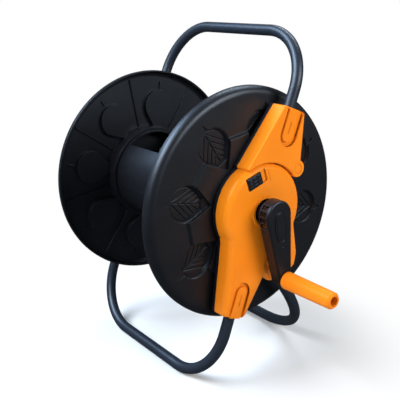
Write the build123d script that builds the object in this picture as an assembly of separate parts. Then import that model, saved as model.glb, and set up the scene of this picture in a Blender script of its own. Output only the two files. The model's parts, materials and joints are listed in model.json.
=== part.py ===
from build123d import *
import os
from dataclasses import dataclass
from math import cos, hypot, radians, sin, sqrt, tan

# Portable garden hose reel: a flanged drum turns between two side brackets that stand on bent tubes.
# Built about the reel axle: X runs along the axle towards the crank, Y to the rear, Z up, in millimetres.
# At the end every piece is moved so that the origin is under the middle of the bounding box, on the floor.

# ---- overall sizes -------------------------------------------------------------------------------
AXLE_HEIGHT = 253.0          # floor to axle
HANDLE_RISE = 240.0          # axle to the top of the handle
FLANGE_RADIUS = 165.0
FLANGE_FACE = 130.0          # axle centre to a flange's outer face
FIT_GAP = 0.05               # radial running clearance of each bearing
LOOSE_GAP = 0.3              # clearance of sliding and clipped pieces
SEAT_GAP = 0.1               # clearance between pieces that rest on each other

# ---- frame tubes ---------------------------------------------------------------------------------
TUBE_RADIUS = 8.0
TUBE_WALL = 1.4
TUBE_IN_BRACKET = 11.0       # bracket's parting plane to the tube's centre line
HANDLE_LEAN = 20.3           # degrees that the handle leans to the rear
FRONT_FOOT_LEAN = 18.5       # degrees that the front foot runs forward
REAR_FOOT_LEAN = 34.4        # degrees that the rear foot runs back
REAR_FOOT_DROP = 49.6        # the rear foot's leg line starts this far under the axle
HANDLE_BEND = 80.0
FRONT_FOOT_BEND = 80.0
REAR_FOOT_BEND = 130.0
HANDLE_SOCKET = 54.0         # where each tube ends inside its bracket, along its own leg line
FRONT_FOOT_SOCKET = 60.0
REAR_FOOT_SOCKET = 14.0

# ---- side brackets -------------------------------------------------------------------------------
BRACKET_GAP = 1.5            # flange's raised centre to the base plate
BASE_DEPTH = 6.0
BASE_FLOOR = 3.0
COVER_OVER_TUBE = 5.0        # a tube's outer side to the cover's face
COVER_DEPTH = TUBE_IN_BRACKET + TUBE_RADIUS + COVER_OVER_TUBE
COVER_WALL = 2.5
HUB_RADIUS = 66.0
HUB_SOFT_EDGE = 9.0
SEAM_GAP = 0.5               # between the upper and the lower cover
UPPER_EDGE_ROUND = 2.0
LEG_HALF_WIDTH = 19.5
HANDLE_COVER_END = 143.0     # the covers end here along each leg line
FRONT_COVER_END = 153.0
UPPER_FRONT_CORNER = (-31.0, 62.5)
UPPER_REAR_CORNER = (64.0, 62.0)
FRONT_WAIST = (-57.5, -39.0)
REAR_WAIST = (60.0, -31.0)
LEG_NOTCH = (4.5, -97.0)
REAR_END_SHAPE = ((58.0, 18.5), (72.0, -13.0), (72.0, -29.0), (58.0, -42.0))
PAD_CENTRE = (59.5, 50.5)
PAD_RADIUS = 12.0
AXLE_OPENING = 18.5          # hole in each lower cover for the crank neck or the inlet
COLLAR_HEIGHT = 1.5
COLLAR_WALL = 3.5
PAD_CORE_RADIUS = 7.5        # solid core under the pad, for its screw
LINE_WIDTH = 0.8             # fine decorative lines
LINE_DEPTH = 0.5
SADDLE_THICKNESS = 2.5
SADDLE_HALF_WIDTH = 13.0
HANDLE_SADDLES = (88.0, 104.0, 128.0)    # where the ribs under each tube stand, along its leg line
FRONT_SADDLES = (74.0, 98.0, 132.0)
REAR_SADDLES = (24.0, 48.0)
TUBE_SEAT_GAP = 0.15

# ---- tongue over each tube end -------------------------------------------------------------------
TONGUE_HALF_WIDTH = 9.0
GROOVE_HALF_WIDTH = 15.5
GROOVE_DEPTH = 4.2
TONGUE_SINK = 1.0            # tongue's top under the cover's face
GROOVE_LENGTH = 52.0
TONGUE_LENGTH = 46.0
MARK_SIZE = (16.0, 2.4)
MARK_DEPTH = 0.8
MARK_SHIFT = 8.0             # from the tongue's middle towards the hub
TONGUE_EDGE_ROUND = 1.6
GROOVE_SHIFT = 2.0           # the groove sits a little to the right of the tongue

# ---- screws --------------------------------------------------------------------------------------
SCREW_RADIUS = 2.0
SCREW_HEAD = 4.0
SCREW_HEAD_HEIGHT = 2.4
SCREW_HOLE_GAP = 0.1
BOSS_RADIUS = 5.5
UPPER_SCREWS = ((-6.0, 76.0), (17.0, 106.0), (57.0, 92.0))
LOWER_SCREWS = ((-50.0, 4.0), (50.0, 6.0), (-47.0, -82.0), (51.0, -68.0), (-1.0, -84.0))
TUBE_SCREW_INSET = 22.0      # from a tube's end inside the bracket
HEAD_SINK = 3.4              # screw heads sit this deep in the base plate
SCREW_END = 6.0              # cover's face to the screws' tips
CAP_RADIUS = 6.5
CAP_DEPTH = 2.6
CAP_EDGE = 0.6
CAP_SCREW_DEPTH = 7.0
CAP_SCREW_BITE = 4.0         # the cap's screw goes this far into the base plate
SCREW_BITE = 8.0
BODY_SCREW_ANGLES = (90.0, 210.0, 330.0)
BODY_SCREW = (3.0, 2.0, 1.5)  # head radius, head height, shank radius
BODY_SCREW_HOLE_DEPTH = 10.0
CRANK_SCREW = (5.0, 2.0, 2.4)
CRANK_SCREW_LENGTH = 24.6
CRANK_SCREW_SEAT = 3.4       # crank's face to the seat of its screw's head

# ---- reel ----------------------------------------------------------------------------------------
PLATE = 3.0
RIM_WIDTH = 14.0
RIM_SOFT_EDGE = 10.5
RIM_WALL = 2.5
PLATEAU_HEIGHT = 3.5
PLATEAU_APOTHEM = 101.3
DRUM_RADIUS = 70.0
DRUM_WALL = 3.0
COLLAR_RADIUS = DRUM_RADIUS + 5.0
RECESS_RADIUS = DRUM_RADIUS - 4.0        # the sunken middle of a flange's outer face
RECESS_WALL = 2.5
LEAF_COUNT = 8
LEAF_PHASE = -11.0           # degrees from +Y to the first leaf
LEAF_CENTRE = 109.0
LEAF_RADIUS = 25.5
LEAF_TIP = 68.5
LEAF_STEM = 142.0
LEAF_STEM_WIDTH = 4.5
LEAF_DEPTH = 7.0
LEAF_DRAFT = 35.0            # degrees that a pocket's wall slants
LEAF_BACK_INSET = 0.5        # the pocket's back is this much smaller than its mouth
LEAF_TIP_DEPTH = 1.5         # the pocket's floor near the tip, under the flange's face
VEIN_WIDTH = 1.0
VEIN_DEPTH = 0.8
VEIN_ANGLE = 42.0
VEIN_PLACES = (130.0, 120.0, 110.0, 100.0)
COLLAR_LENGTH = 21.0
RIB_HEIGHT = 2.5
RIB_WIDTH = 2.0
CUTAWAY_ANGLES = (61.0, 131.0)
CUTAWAY_LENGTH = 110.0
DRUM_SPLIT = 6.0             # degrees from +Y to the joint between the two shells
DRUM_SCREW_RADIUS = DRUM_RADIUS - 10.0
UPPER_DRUM_SCREWS = (36.0, 156.0)
LOWER_DRUM_SCREWS = (216.0, 336.0)
DRUM_SCREW_LENGTH = 20.0

# ---- bearings and water way ----------------------------------------------------------------------
HUB_SLEEVE_LENGTH = 27.0
JOURNAL_RADIUS = 17.0
HUB_SLEEVE_RADIUS = JOURNAL_RADIUS + 3.0
BUSH_WALL = 3.0
BUSH_FLANGE = (2.5, 1.2)     # how far it stands out, and its thickness
JOURNAL_END_PLAY = 0.5
BEARING_BOSS = JOURNAL_RADIUS + BUSH_WALL + 7.0
BODY_SCREW_PITCH = JOURNAL_RADIUS + BUSH_WALL + 3.5
BEARING_LENGTH = 14.0
SHAFT_RADIUS = 11.0
WATER_BORE = 6.0
SHAFT_INSERT = 20.0          # water shaft inside the inlet body
SHAFT_END_PLAY = 3.0
SHAFT_COLLAR = 3.0           # how far the water shaft's collar stands out
SHAFT_COLLAR_THICKNESS = 1.2
ORING_SECTION = 0.78
ORING_GROOVE = 2.2
ORING_PLACES = (6.0, 12.0)   # from the inlet body's shoulder
INLET_SLEEVE = 15.0
NIPPLE_RADIUS = 7.9
NIPPLE_LENGTH = 17.0
INLET_NUT_LENGTH = 9.0
INLET_NUT_WALL = 2.5
INLET_NUT_EDGE = 1.2
INLET_NUT_GROOVES = 18
NIPPLE_BORE = 4.5
NIPPLE_HEX = 3.5             # how far the nipple's foot and its barb stand out
NIPPLE_BARB = 1.9
NIPPLE_CHAMFER = 1.5
NIPPLE_STEPS = (2.0, 5.0, 7.0, 9.0)      # foot's end, then barb's start, crest and end
OUTLET_NIPPLE_LENGTH = 20.0
NUT_LENGTH = 8.0
NUT_RADIUS = 17.0
SOCKET_DEPTH = 11.0          # water shaft inside the elbow
ELBOW_LENGTH = 34.0
ELBOW_RADIUS = 14.0
BRANCH_RADIUS = 11.0
BRANCH_ANGLE = 96.0          # degrees from +Y to the elbow's branch
BRANCH_TOP = 27.0            # axle to the end of the branch

# ---- crank and grip ------------------------------------------------------------------------------
CRANK_BASE = 11.0            # cover's face to the crank's inner edge
CRANK_DEPTH = 18.0
CRANK_HUB = 21.5
CRANK_TIP = 10.5
CRANK_WALL = 2.5
CRANK_REACH = 95.0
CRANK_SWING = 9.8            # degrees that the arm stands off straight down, towards the rear
CRANK_EDGE_ROUND = 3.0
CRANK_RIB = 2.0
CRANK_SOCKET_WALL = 3.0
CRANK_SOCKET_SINK = 0.5      # the socket's start under the cover's face
CRANK_SOCKET_FLOOR = 5.4     # crank's face to the end of the neck's socket
NECK_RADIUS = 12.0
NECK_FLAT = 2.5              # taken off each side of the neck
NECK_BORE = (2.5, 28.0)      # radius and depth
WINDOW_ANGLES = (143.0, 167.0, 191.0, 215.0)
WINDOW_SIZE = (11.0, 6.4)
WINDOW_INSET = 2.2
NOTCH_MARK = (2.4, 5.0, 1.2)  # the small notch under the oval: along, across and deep
NOTCH_MARK_GAP = 6.0
OVAL_RADII = (10.5, 23.0)
OVAL_ALONG = 15.0
OVAL_RISE = 1.2
OVAL_SEAT = 1.0
OVAL_EDGE_ROUND = 0.9
OVAL_LINE = (2.2, 3.2)       # the line pressed into the oval, in from its edge
GRIP_RADIUS = 12.5
GRIP_END_RADIUS = 11.5
GRIP_LENGTH = 85.5
GRIP_CHAMFER = 3.0
GRIP_RECESS = 6.6
GRIP_RECESS_DEPTH = 14.0
PIN_RADIUS = 4.0
PIN_HEAD = 6.0
PIN_HEAD_HEIGHT = 3.0
PIN_SLOT = (1.6, 1.2)        # width and depth
PIN_COLLAR = 2.5

# ---- reel lock -----------------------------------------------------------------------------------
LOCK_ANGLE = 109.0           # degrees from +Y to the middle of the slider's travel
LOCK_RADIUS = 49.3
LOCK_TRAVEL = 9.0
BOLT_TRAVEL = 7.0
BUTTON_SIZE = (24.0, 17.0)
BUTTON_RISE = 2.2
BUTTON_BAR = (2.6, 4.8, 0.8)  # each grip bar: radial, tangential and how far it stands out
BUTTON_BAR_PITCH = (4.8, 7.2)
BUTTON_EDGE_ROUND = 0.8
LOCK_RING = (36.0, JOURNAL_RADIUS + 7.0)  # outer and inner radius
LOCK_FRAME_RADIAL = (-12.0, 9.0)         # from the slider's line
LOCK_FRAME_HALF = 21.0
NOTCH_FLOOR = 29.0
NOTCH_WIDTH = 9.0
NOTCH_COUNT = 12
BOLT_WIDTH = 7.0
BOLT_PLATE_HALF = 9.0
BOLT_TIP_LENGTH = 6.0
GUIDE_RADIAL = (33.0, 62.0)
GUIDE_WIDTH = 2.0
PEG_RADIUS = 2.0
FRAME_DEPTH = 6.0            # thickness of the cover round the slider's window
WINDOW_LENGTH = BUTTON_SIZE[0] + LOCK_TRAVEL + 1.0
BUTTON_SINK = 2.2
STEM = 6.0
CLIP_THICKNESS = 2.0
BOLT_THICKNESS = 3.5
BOLT_REACH = LOCK_RING[0] + 1.6          # the tip's distance from the axle when the reel is free

# ---- planes along the axle -----------------------------------------------------------------------
PLATE_INNER = FLANGE_FACE - PLATE
WEB_INNER = PLATE_INNER - PLATE
PLATEAU = FLANGE_FACE + PLATEAU_HEIGHT
BASE_INNER = PLATEAU + BRACKET_GAP
PARTING = BASE_INNER + BASE_DEPTH
TUBE_X = PARTING + TUBE_IN_BRACKET
COVER_FACE = PARTING + COVER_DEPTH
BEARING_END = BASE_INNER + BEARING_LENGTH
CRANK_INNER = COVER_FACE + CRANK_BASE
CRANK_FACE = CRANK_INNER + CRANK_DEPTH
GRIP_START = CRANK_FACE + 1.5
GRIP_FAR = GRIP_START + GRIP_LENGTH
INLET_SHOULDER = BEARING_END + 3.5
INLET_SLEEVE_END = COVER_FACE + 11.0
INLET_NUT_END = INLET_SLEEVE_END + INLET_NUT_LENGTH
NIPPLE_FAR = INLET_NUT_END + SEAT_GAP + NIPPLE_LENGTH + NIPPLE_CHAMFER
SCREW_TIP = COVER_FACE - SCREW_END
CLIP_TOP = COVER_FACE - FRAME_DEPTH - LOOSE_GAP
BOLT_START = BASE_INNER + BASE_FLOOR + LOOSE_GAP
BOLT_END = BOLT_START + BOLT_THICKNESS
HUB_INNER = PLATE_INNER - HUB_SLEEVE_LENGTH
ELBOW_END = HUB_INNER - NUT_LENGTH - 1.0
BRANCH_X = ELBOW_END - ELBOW_LENGTH + 12.0


@dataclass(frozen=True)
class Leg:
    """A tube's straight leg seen from the side: where its line starts, its heading and where it bends."""

    start: tuple
    heading: float           # degrees from +Z towards +Y
    reach: float             # start of the line to the run that joins the two legs
    socket: float            # start of the line to the tube's end in the bracket
    bend: float

    def point(self, along, across=0.0):
        """The (y, z) that lies `along` down the leg's line and `across` to its right-hand side."""
        turn = radians(self.heading)
        y = self.start[0] + along * sin(turn) + across * cos(turn)
        z = self.start[1] + along * cos(turn) - across * sin(turn)
        return (y, z)


HANDLE = Leg(
    (0.0, 0.0), HANDLE_LEAN,
    (HANDLE_RISE - TUBE_RADIUS) / cos(radians(HANDLE_LEAN)),
    HANDLE_SOCKET, HANDLE_BEND,
)
FRONT_FOOT = Leg(
    (0.0, 0.0), 180.0 + FRONT_FOOT_LEAN,
    (AXLE_HEIGHT - TUBE_RADIUS) / cos(radians(FRONT_FOOT_LEAN)),
    FRONT_FOOT_SOCKET, FRONT_FOOT_BEND,
)
REAR_FOOT = Leg(
    (0.0, -REAR_FOOT_DROP), 180.0 - REAR_FOOT_LEAN,
    (AXLE_HEIGHT - TUBE_RADIUS - REAR_FOOT_DROP) / cos(radians(REAR_FOOT_LEAN)),
    REAR_FOOT_SOCKET, REAR_FOOT_BEND,
)
GRIP_AXIS = (CRANK_REACH * sin(radians(CRANK_SWING)), -CRANK_REACH * cos(radians(CRANK_SWING)))


# ---- shared shapes -------------------------------------------------------------------------------
def side_plane(x):
    """The plane at x whose own axes are Y and Z."""
    return Plane(origin=(x, 0, 0), x_dir=(0, 1, 0), z_dir=(1, 0, 0))


def slab(outline, x_from, x_to):
    """A side-view outline made solid between two planes along the axle."""
    return extrude(side_plane(x_from) * outline, amount=x_to - x_from)


def rod(radius, x_from, x_to, centre=(0.0, 0.0)):
    """A round bar parallel to the axle."""
    return slab(Pos(*centre) * Circle(radius), x_from, x_to)


def ring(outer, inner, x_from, x_to, centre=(0.0, 0.0)):
    """A tube parallel to the axle."""
    return slab(Pos(*centre) * (Circle(outer) - Circle(inner)), x_from, x_to)


def turned(points, rounds=()):
    """A profile of (x, radius) points turned about the axle, with some corners rounded first."""
    face = make_face(Polyline(*points, close=True))
    for corner, radius in rounds:
        nearest = face.vertices().sort_by_distance((corner[0], corner[1], 0))[0]
        face = fillet(nearest, radius)
    return revolve(Plane.XZ * face, Axis.X)


def polar(radius, angle):
    """The (y, z) at a radius and an angle from +Y towards +Z."""
    return (radius * cos(radians(angle)), radius * sin(radians(angle)))


def radial_block(angle, radial, tangential, x_from, x_to):
    """A block in a frame turned to an angle: radial and tangential are (low, high) pairs."""
    width, height = radial[1] - radial[0], tangential[1] - tangential[0]
    middle = ((radial[0] + radial[1]) / 2, (tangential[0] + tangential[1]) / 2)
    return slab(Rot(0, 0, angle) * Pos(*middle) * Rectangle(width, height), x_from, x_to)


def leg_block(leg, along, across, x_from, x_to):
    """A block laid along a leg: along and across are (low, high) pairs on the leg's line."""
    corners = [leg.point(a, b) for a, b in
               ((along[0], across[0]), (along[1], across[0]), (along[1], across[1]), (along[0], across[1]))]
    return slab(make_face(Polyline(*corners, close=True)), x_from, x_to)


def teardrop(big, big_radius, small, small_radius):
    """The outline round two circles of different size, with straight sides tangent to both."""
    dy, dz = small[0] - big[0], small[1] - big[1]
    gap = hypot(dy, dz)
    lean = (big_radius - small_radius) / gap
    side = sqrt(1 - lean * lean)
    uy, uz = dy / gap, dz / gap
    corners = []
    for sign in (1, -1):
        ny, nz = lean * uy - sign * side * uz, lean * uz + sign * side * uy
        pair = [(big[0] + big_radius * ny, big[1] + big_radius * nz),
                (small[0] + small_radius * ny, small[1] + small_radius * nz)]
        corners += pair if sign > 0 else pair[::-1]
    outline = make_face(Polyline(*corners, close=True)) + Pos(*big) * Circle(big_radius)
    if small_radius > 0.5:
        outline += Pos(*small) * Circle(small_radius)
    return outline


def inlet_side(shape):
    """The same piece on the other end of the axle."""
    return mirror(shape, about=Plane.YZ)


def screw(x_head, x_tip, centre, head=SCREW_HEAD, height=SCREW_HEAD_HEIGHT, shank=SCREW_RADIUS):
    """A pan-head screw with a cross recess; it points from x_head towards x_tip."""
    way = 1 if x_tip > x_head else -1
    seat = x_head + way * height
    bar = rod(shank, min(seat, x_tip), max(seat, x_tip), centre)
    top = rod(head, min(x_head, seat), max(x_head, seat), centre)
    floor = x_head + way * height / 2
    recess = slab(Pos(*centre) * (Rectangle(head, head / 4) + Rectangle(head / 4, head)),
                  min(x_head, floor), max(x_head, floor))
    return bar + top - recess


# ---- frame tubes ---------------------------------------------------------------------------------
def tube_screw_centre(leg):
    """Where the screw goes through a tube's end."""
    return leg.point(leg.socket + TUBE_SCREW_INSET)


def bent_tube(leg):
    """One tube bent into a U: a leg down each bracket and a straight run between two bends."""
    path = FilletPolyline(
        (TUBE_X, *leg.point(leg.socket)),
        (TUBE_X, *leg.point(leg.reach)),
        (-TUBE_X, *leg.point(leg.reach)),
        (-TUBE_X, *leg.point(leg.socket)),
        radius=leg.bend,
    )
    start = Plane(origin=path @ 0, z_dir=path % 0)
    tube = sweep(start * (Circle(TUBE_RADIUS) - Circle(TUBE_RADIUS - TUBE_WALL)), path=path)
    hole = rod(SCREW_RADIUS + LOOSE_GAP, -COVER_FACE, COVER_FACE, tube_screw_centre(leg))
    return tube - hole


def tube_space(leg):
    """The room that a bracket leaves for a tube, from the tube's end to past the bracket."""
    far = leg.reach - leg.bend
    start = Plane(origin=(TUBE_X, *leg.point(leg.socket - LOOSE_GAP)),
                  z_dir=(0, sin(radians(leg.heading)), cos(radians(leg.heading))))
    return extrude(start * Circle(TUBE_RADIUS + TUBE_SEAT_GAP), amount=far - leg.socket)


LEGS = (HANDLE, FRONT_FOOT, REAR_FOOT)


# ---- bracket outlines ----------------------------------------------------------------------------
def soft_corners(face, corners):
    """Rounds some corners of an outline: corners are ((y, z), radius) pairs."""
    for corner, radius in corners:
        nearest = face.vertices().sort_by_distance((corner[0], corner[1], 0))[0]
        face = fillet(nearest, radius)
    return face


def upper_outline():
    """The upper cover: a tapered panel up the handle, its foot cut to the hub's circle, and a screw pad."""
    top = [HANDLE.point(HANDLE_COVER_END, -LEG_HALF_WIDTH), HANDLE.point(HANDLE_COVER_END, LEG_HALF_WIDTH)]
    face = make_face(Polyline(top[0], top[1], UPPER_REAR_CORNER, (0, 0), UPPER_FRONT_CORNER, close=True))
    face = soft_corners(face, [(top[0], 3.5), (top[1], 3.5), (UPPER_FRONT_CORNER, 3.0)])
    return face + Pos(*PAD_CENTRE) * Circle(PAD_RADIUS) - Circle(HUB_RADIUS + SEAM_GAP)


def lower_outline():
    """The lower cover: the round hub and two splayed legs with a notch between them."""
    front_end = [FRONT_FOOT.point(FRONT_COVER_END, LEG_HALF_WIDTH),
                 FRONT_FOOT.point(FRONT_COVER_END, -LEG_HALF_WIDTH)]
    rear_end = [REAR_FOOT.point(*place) for place in REAR_END_SHAPE]
    hub_front, hub_rear = polar(HUB_RADIUS - 1, 205), polar(HUB_RADIUS - 1, -23)
    face = make_face(Polyline(
        hub_front, FRONT_WAIST, *front_end, LEG_NOTCH, *rear_end, REAR_WAIST, hub_rear, (0, 10), close=True))
    face = soft_corners(face + Circle(HUB_RADIUS), [
        (FRONT_WAIST, 12.0), (front_end[0], 6.5), (front_end[1], 6.5), (LEG_NOTCH, 2.0),
        (rear_end[0], 6.5), (rear_end[1], 9.0), (rear_end[2], 9.0), (rear_end[3], 16.0), (REAR_WAIST, 12.0),
    ])
    return face


# ---- bracket pieces ------------------------------------------------------------------------------
def tongue_block(leg, end):
    """The groove and the tongue pressed into a cover over a tube: (thickening, groove, tongue, mark)."""
    floor = COVER_FACE - GROOVE_DEPTH
    arch = end - GROOVE_LENGTH + GROOVE_HALF_WIDTH
    sides = (GROOVE_SHIFT - GROOVE_HALF_WIDTH, GROOVE_SHIFT + GROOVE_HALF_WIDTH)
    groove = leg_block(leg, (arch, end + 5), sides, floor, COVER_FACE + 1)
    groove += rod(GROOVE_HALF_WIDTH, floor, COVER_FACE + 1, leg.point(arch, GROOVE_SHIFT))
    thick = leg_block(leg, (arch, end), sides, floor - COVER_WALL, COVER_FACE - COVER_WALL)
    thick += rod(GROOVE_HALF_WIDTH, floor - COVER_WALL, COVER_FACE - COVER_WALL,
                 leg.point(arch, GROOVE_SHIFT))
    crown = end - TONGUE_LENGTH + TONGUE_HALF_WIDTH
    top = COVER_FACE - TONGUE_SINK
    tongue = leg_block(leg, (crown, end), (-TONGUE_HALF_WIDTH, TONGUE_HALF_WIDTH), floor - 1, top)
    tongue += rod(TONGUE_HALF_WIDTH, floor - 1, top, leg.point(crown))
    tongue = fillet(tongue.faces().sort_by(Axis.X)[-1].edges(), TONGUE_EDGE_ROUND)
    middle = (crown + end) / 2 - MARK_SHIFT
    mark = leg_block(leg, (middle - MARK_SIZE[0] / 2, middle + MARK_SIZE[0] / 2),
                     (-MARK_SIZE[1] / 2, MARK_SIZE[1] / 2), top - MARK_DEPTH, top + 1)
    return thick, groove, tongue, mark


def cover_saddles(leg, places):
    """Ribs inside a cover that press on the tube from outside."""
    return [leg_block(leg, (s - SADDLE_THICKNESS / 2, s + SADDLE_THICKNESS / 2),
                      (-SADDLE_HALF_WIDTH, SADDLE_HALF_WIDTH), TUBE_X + LOOSE_GAP, COVER_FACE - COVER_WALL)
            for s in places]


def cover_bosses(screws):
    """Bosses that the base plate's screws bite into."""
    return [rod(BOSS_RADIUS - 1, PARTING, COVER_FACE - COVER_WALL, place) for place in screws]


def screw_holes(screws, x_from, x_to):
    """Pilot holes for a set of screws."""
    return [rod(SCREW_RADIUS + SCREW_HOLE_GAP, x_from, x_to, place) for place in screws]


def upper_cover():
    """Upper cover of one bracket, an open-backed shell."""
    outline = upper_outline()
    shell = slab(outline, PARTING, COVER_FACE)
    shell = fillet(shell.faces().sort_by(Axis.X)[-1].edges(), UPPER_EDGE_ROUND)
    inside = slab(offset(outline, -COVER_WALL), PARTING, COVER_FACE - COVER_WALL)
    thick, groove, tongue, mark = tongue_block(HANDLE, HANDLE_COVER_END)
    core = rod(PAD_CORE_RADIUS, PARTING, COVER_FACE, PAD_CENTRE)
    shell = shell - inside
    for part in (thick, *cover_saddles(HANDLE, HANDLE_SADDLES), *cover_bosses(UPPER_SCREWS), core):
        shell += inside & part
    shell = shell - groove + tongue - mark - tube_space(HANDLE)
    for hole in screw_holes(UPPER_SCREWS, PARTING, SCREW_TIP + 1):
        shell -= hole
    shell -= rod(SCREW_RADIUS + SCREW_HOLE_GAP, PARTING, COVER_FACE, PAD_CENTRE)
    shell -= rod(SCREW_HEAD + LOOSE_GAP, COVER_FACE - CAP_SCREW_DEPTH, COVER_FACE, PAD_CENTRE)
    shell -= rod(CAP_RADIUS + SEAT_GAP, COVER_FACE - CAP_DEPTH, COVER_FACE, PAD_CENTRE)
    line = PAD_RADIUS - 2 * LINE_WIDTH
    return shell - ring(line + LINE_WIDTH / 2, line - LINE_WIDTH / 2, COVER_FACE - LINE_DEPTH, COVER_FACE,
                        PAD_CENTRE)


def lower_cover(with_lock):
    """Lower cover of one bracket: the round hub with the axle opening and the two foot sockets."""
    outline = lower_outline()
    shell = slab(outline, PARTING, COVER_FACE)
    shell = fillet(shell.faces().sort_by(Axis.X)[-1].edges(), HUB_SOFT_EDGE)
    deep = slab(offset(outline, -COVER_WALL), PARTING, COVER_FACE - HUB_SOFT_EDGE - 1)
    inside = deep + slab(offset(outline, -HUB_SOFT_EDGE + 1), PARTING, COVER_FACE - COVER_WALL)
    front = tongue_block(FRONT_FOOT, FRONT_COVER_END)
    rear = tongue_block(REAR_FOOT, REAR_END_SHAPE[1][0] - 4.0)
    ribs = cover_saddles(FRONT_FOOT, FRONT_SADDLES) + cover_saddles(REAR_FOOT, REAR_SADDLES)
    shell = shell - inside
    for part in (front[0], rear[0], *ribs, *cover_bosses(LOWER_SCREWS)):
        shell += inside & part
    shell = shell - front[1] - rear[1] + front[2] + (rear[2] & slab(outline, PARTING, COVER_FACE))
    shell = shell - front[3] - rear[3]
    shell += rod(AXLE_OPENING + COLLAR_WALL, COVER_FACE - COVER_WALL, COVER_FACE + COLLAR_HEIGHT)
    if with_lock:
        shell += inside & lock_frame()
        shell = shell - lock_window()
    shell -= rod(AXLE_OPENING, PARTING, COVER_FACE + COLLAR_HEIGHT)
    for leg in LEGS:
        shell -= tube_space(leg)
    for hole in screw_holes(LOWER_SCREWS, PARTING, SCREW_TIP + 1):
        shell -= hole
    return shell


def base_plate(with_lock):
    """Inner half of one bracket: a tray that carries the bearing, the tube saddles and the screw bosses."""
    outline = upper_outline() + lower_outline() + Circle(HUB_RADIUS + SEAM_GAP + 0.2)
    plate = slab(outline, BASE_INNER, PARTING)
    inside = slab(offset(outline, -COVER_WALL), BASE_INNER + BASE_FLOOR, COVER_FACE - COVER_WALL)
    plate -= inside
    for leg, places in ((HANDLE, HANDLE_SADDLES), (FRONT_FOOT, FRONT_SADDLES), (REAR_FOOT, REAR_SADDLES)):
        for s in places:
            plate += inside & leg_block(leg, (s - SADDLE_THICKNESS / 2, s + SADDLE_THICKNESS / 2),
                                        (-SADDLE_HALF_WIDTH, SADDLE_HALF_WIDTH), BASE_INNER,
                                        TUBE_X - LOOSE_GAP)
        plate += rod(BOSS_RADIUS, BASE_INNER, PARTING, tube_screw_centre(leg))
        plate -= tube_space(leg)
    for place in (*UPPER_SCREWS, *LOWER_SCREWS, PAD_CENTRE):
        plate += rod(BOSS_RADIUS - 0.5, BASE_INNER, PARTING - SEAT_GAP, place)
    plate += rod(BEARING_BOSS, BASE_INNER, BEARING_END)
    plate -= rod(JOURNAL_RADIUS + FIT_GAP + BUSH_WALL + SEAT_GAP, BASE_INNER, BEARING_END)
    if with_lock:
        plate += lock_guides()
        plate -= lock_slot()
    else:
        for angle in BODY_SCREW_ANGLES:
            plate -= rod(BODY_SCREW[2] + SCREW_HOLE_GAP, BEARING_END - BODY_SCREW_HOLE_DEPTH, BEARING_END,
                         polar(BODY_SCREW_PITCH, angle))
    holes = [*UPPER_SCREWS, *LOWER_SCREWS, *(tube_screw_centre(leg) for leg in LEGS)]
    for place in holes:
        plate -= rod(SCREW_RADIUS + SCREW_HOLE_GAP, BASE_INNER, PARTING, place)
        plate -= rod(SCREW_HEAD + LOOSE_GAP, BASE_INNER, BASE_INNER + HEAD_SINK, place)
    return plate - rod(SCREW_RADIUS + SCREW_HOLE_GAP, PARTING - CAP_SCREW_BITE - 1, PARTING, PAD_CENTRE)


def cover_screws():
    """The screws that hold both covers of one bracket, put in from the reel's side."""
    head = BASE_INNER + HEAD_SINK - SCREW_HEAD_HEIGHT
    return [screw(head, SCREW_TIP, place) for place in (*UPPER_SCREWS, *LOWER_SCREWS)]


def tube_screws():
    """The screws that pin each tube's end in one bracket."""
    head = BASE_INNER + HEAD_SINK - SCREW_HEAD_HEIGHT
    return [screw(head, TUBE_X + TUBE_RADIUS - 2.5, tube_screw_centre(leg)) for leg in LEGS]


def cap_screw():
    """The screw under the round cap of an upper cover."""
    return screw(COVER_FACE - CAP_SCREW_DEPTH + SCREW_HEAD_HEIGHT, PARTING - CAP_SCREW_BITE, PAD_CENTRE)


def screw_cap():
    """The round cap over that screw, a little domed."""
    cap = rod(CAP_RADIUS, COVER_FACE - CAP_DEPTH, COVER_FACE, PAD_CENTRE)
    return chamfer(cap.faces().sort_by(Axis.X)[-1].edges(), CAP_EDGE)


def bush():
    """Flanged plain bearing of one bracket."""
    bore = JOURNAL_RADIUS + FIT_GAP
    sleeve = ring(bore + BUSH_WALL, bore, BASE_INNER, BEARING_END)
    reach, thickness = BUSH_FLANGE
    return sleeve + ring(bore + BUSH_WALL + reach, bore, BASE_INNER - thickness, BASE_INNER)


# ---- reel lock -----------------------------------------------------------------------------------
def lock_frame():
    """The thick part of the hub's face round the slider's window."""
    low, high = LOCK_FRAME_RADIAL
    return radial_block(LOCK_ANGLE, (LOCK_RADIUS + low, LOCK_RADIUS + high),
                        (-LOCK_FRAME_HALF, LOCK_FRAME_HALF), COVER_FACE - FRAME_DEPTH, COVER_FACE)


def lock_window():
    """The slider's recess, the slot for its stem and a fine line round the recess."""
    half = BUTTON_SIZE[1] / 2 + LOOSE_GAP
    radial = (LOCK_RADIUS - half, LOCK_RADIUS + half)
    recess = radial_block(LOCK_ANGLE, radial, (-WINDOW_LENGTH / 2, WINDOW_LENGTH / 2),
                          COVER_FACE - BUTTON_SINK - 0.2, COVER_FACE + 1)
    slot_half = (STEM + LOCK_TRAVEL) / 2 + LOOSE_GAP
    slot = radial_block(LOCK_ANGLE, (LOCK_RADIUS - STEM / 2 - LOOSE_GAP, LOCK_RADIUS + STEM / 2 + LOOSE_GAP),
                        (-slot_half, slot_half), PARTING, COVER_FACE)
    line_end = -WINDOW_LENGTH / 2 - 4
    line = radial_block(LOCK_ANGLE, (radial[0] - 3, radial[1] - 2), (line_end - LINE_WIDTH, line_end),
                        COVER_FACE - LINE_DEPTH, COVER_FACE + 1)
    return recess + slot + line


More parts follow.
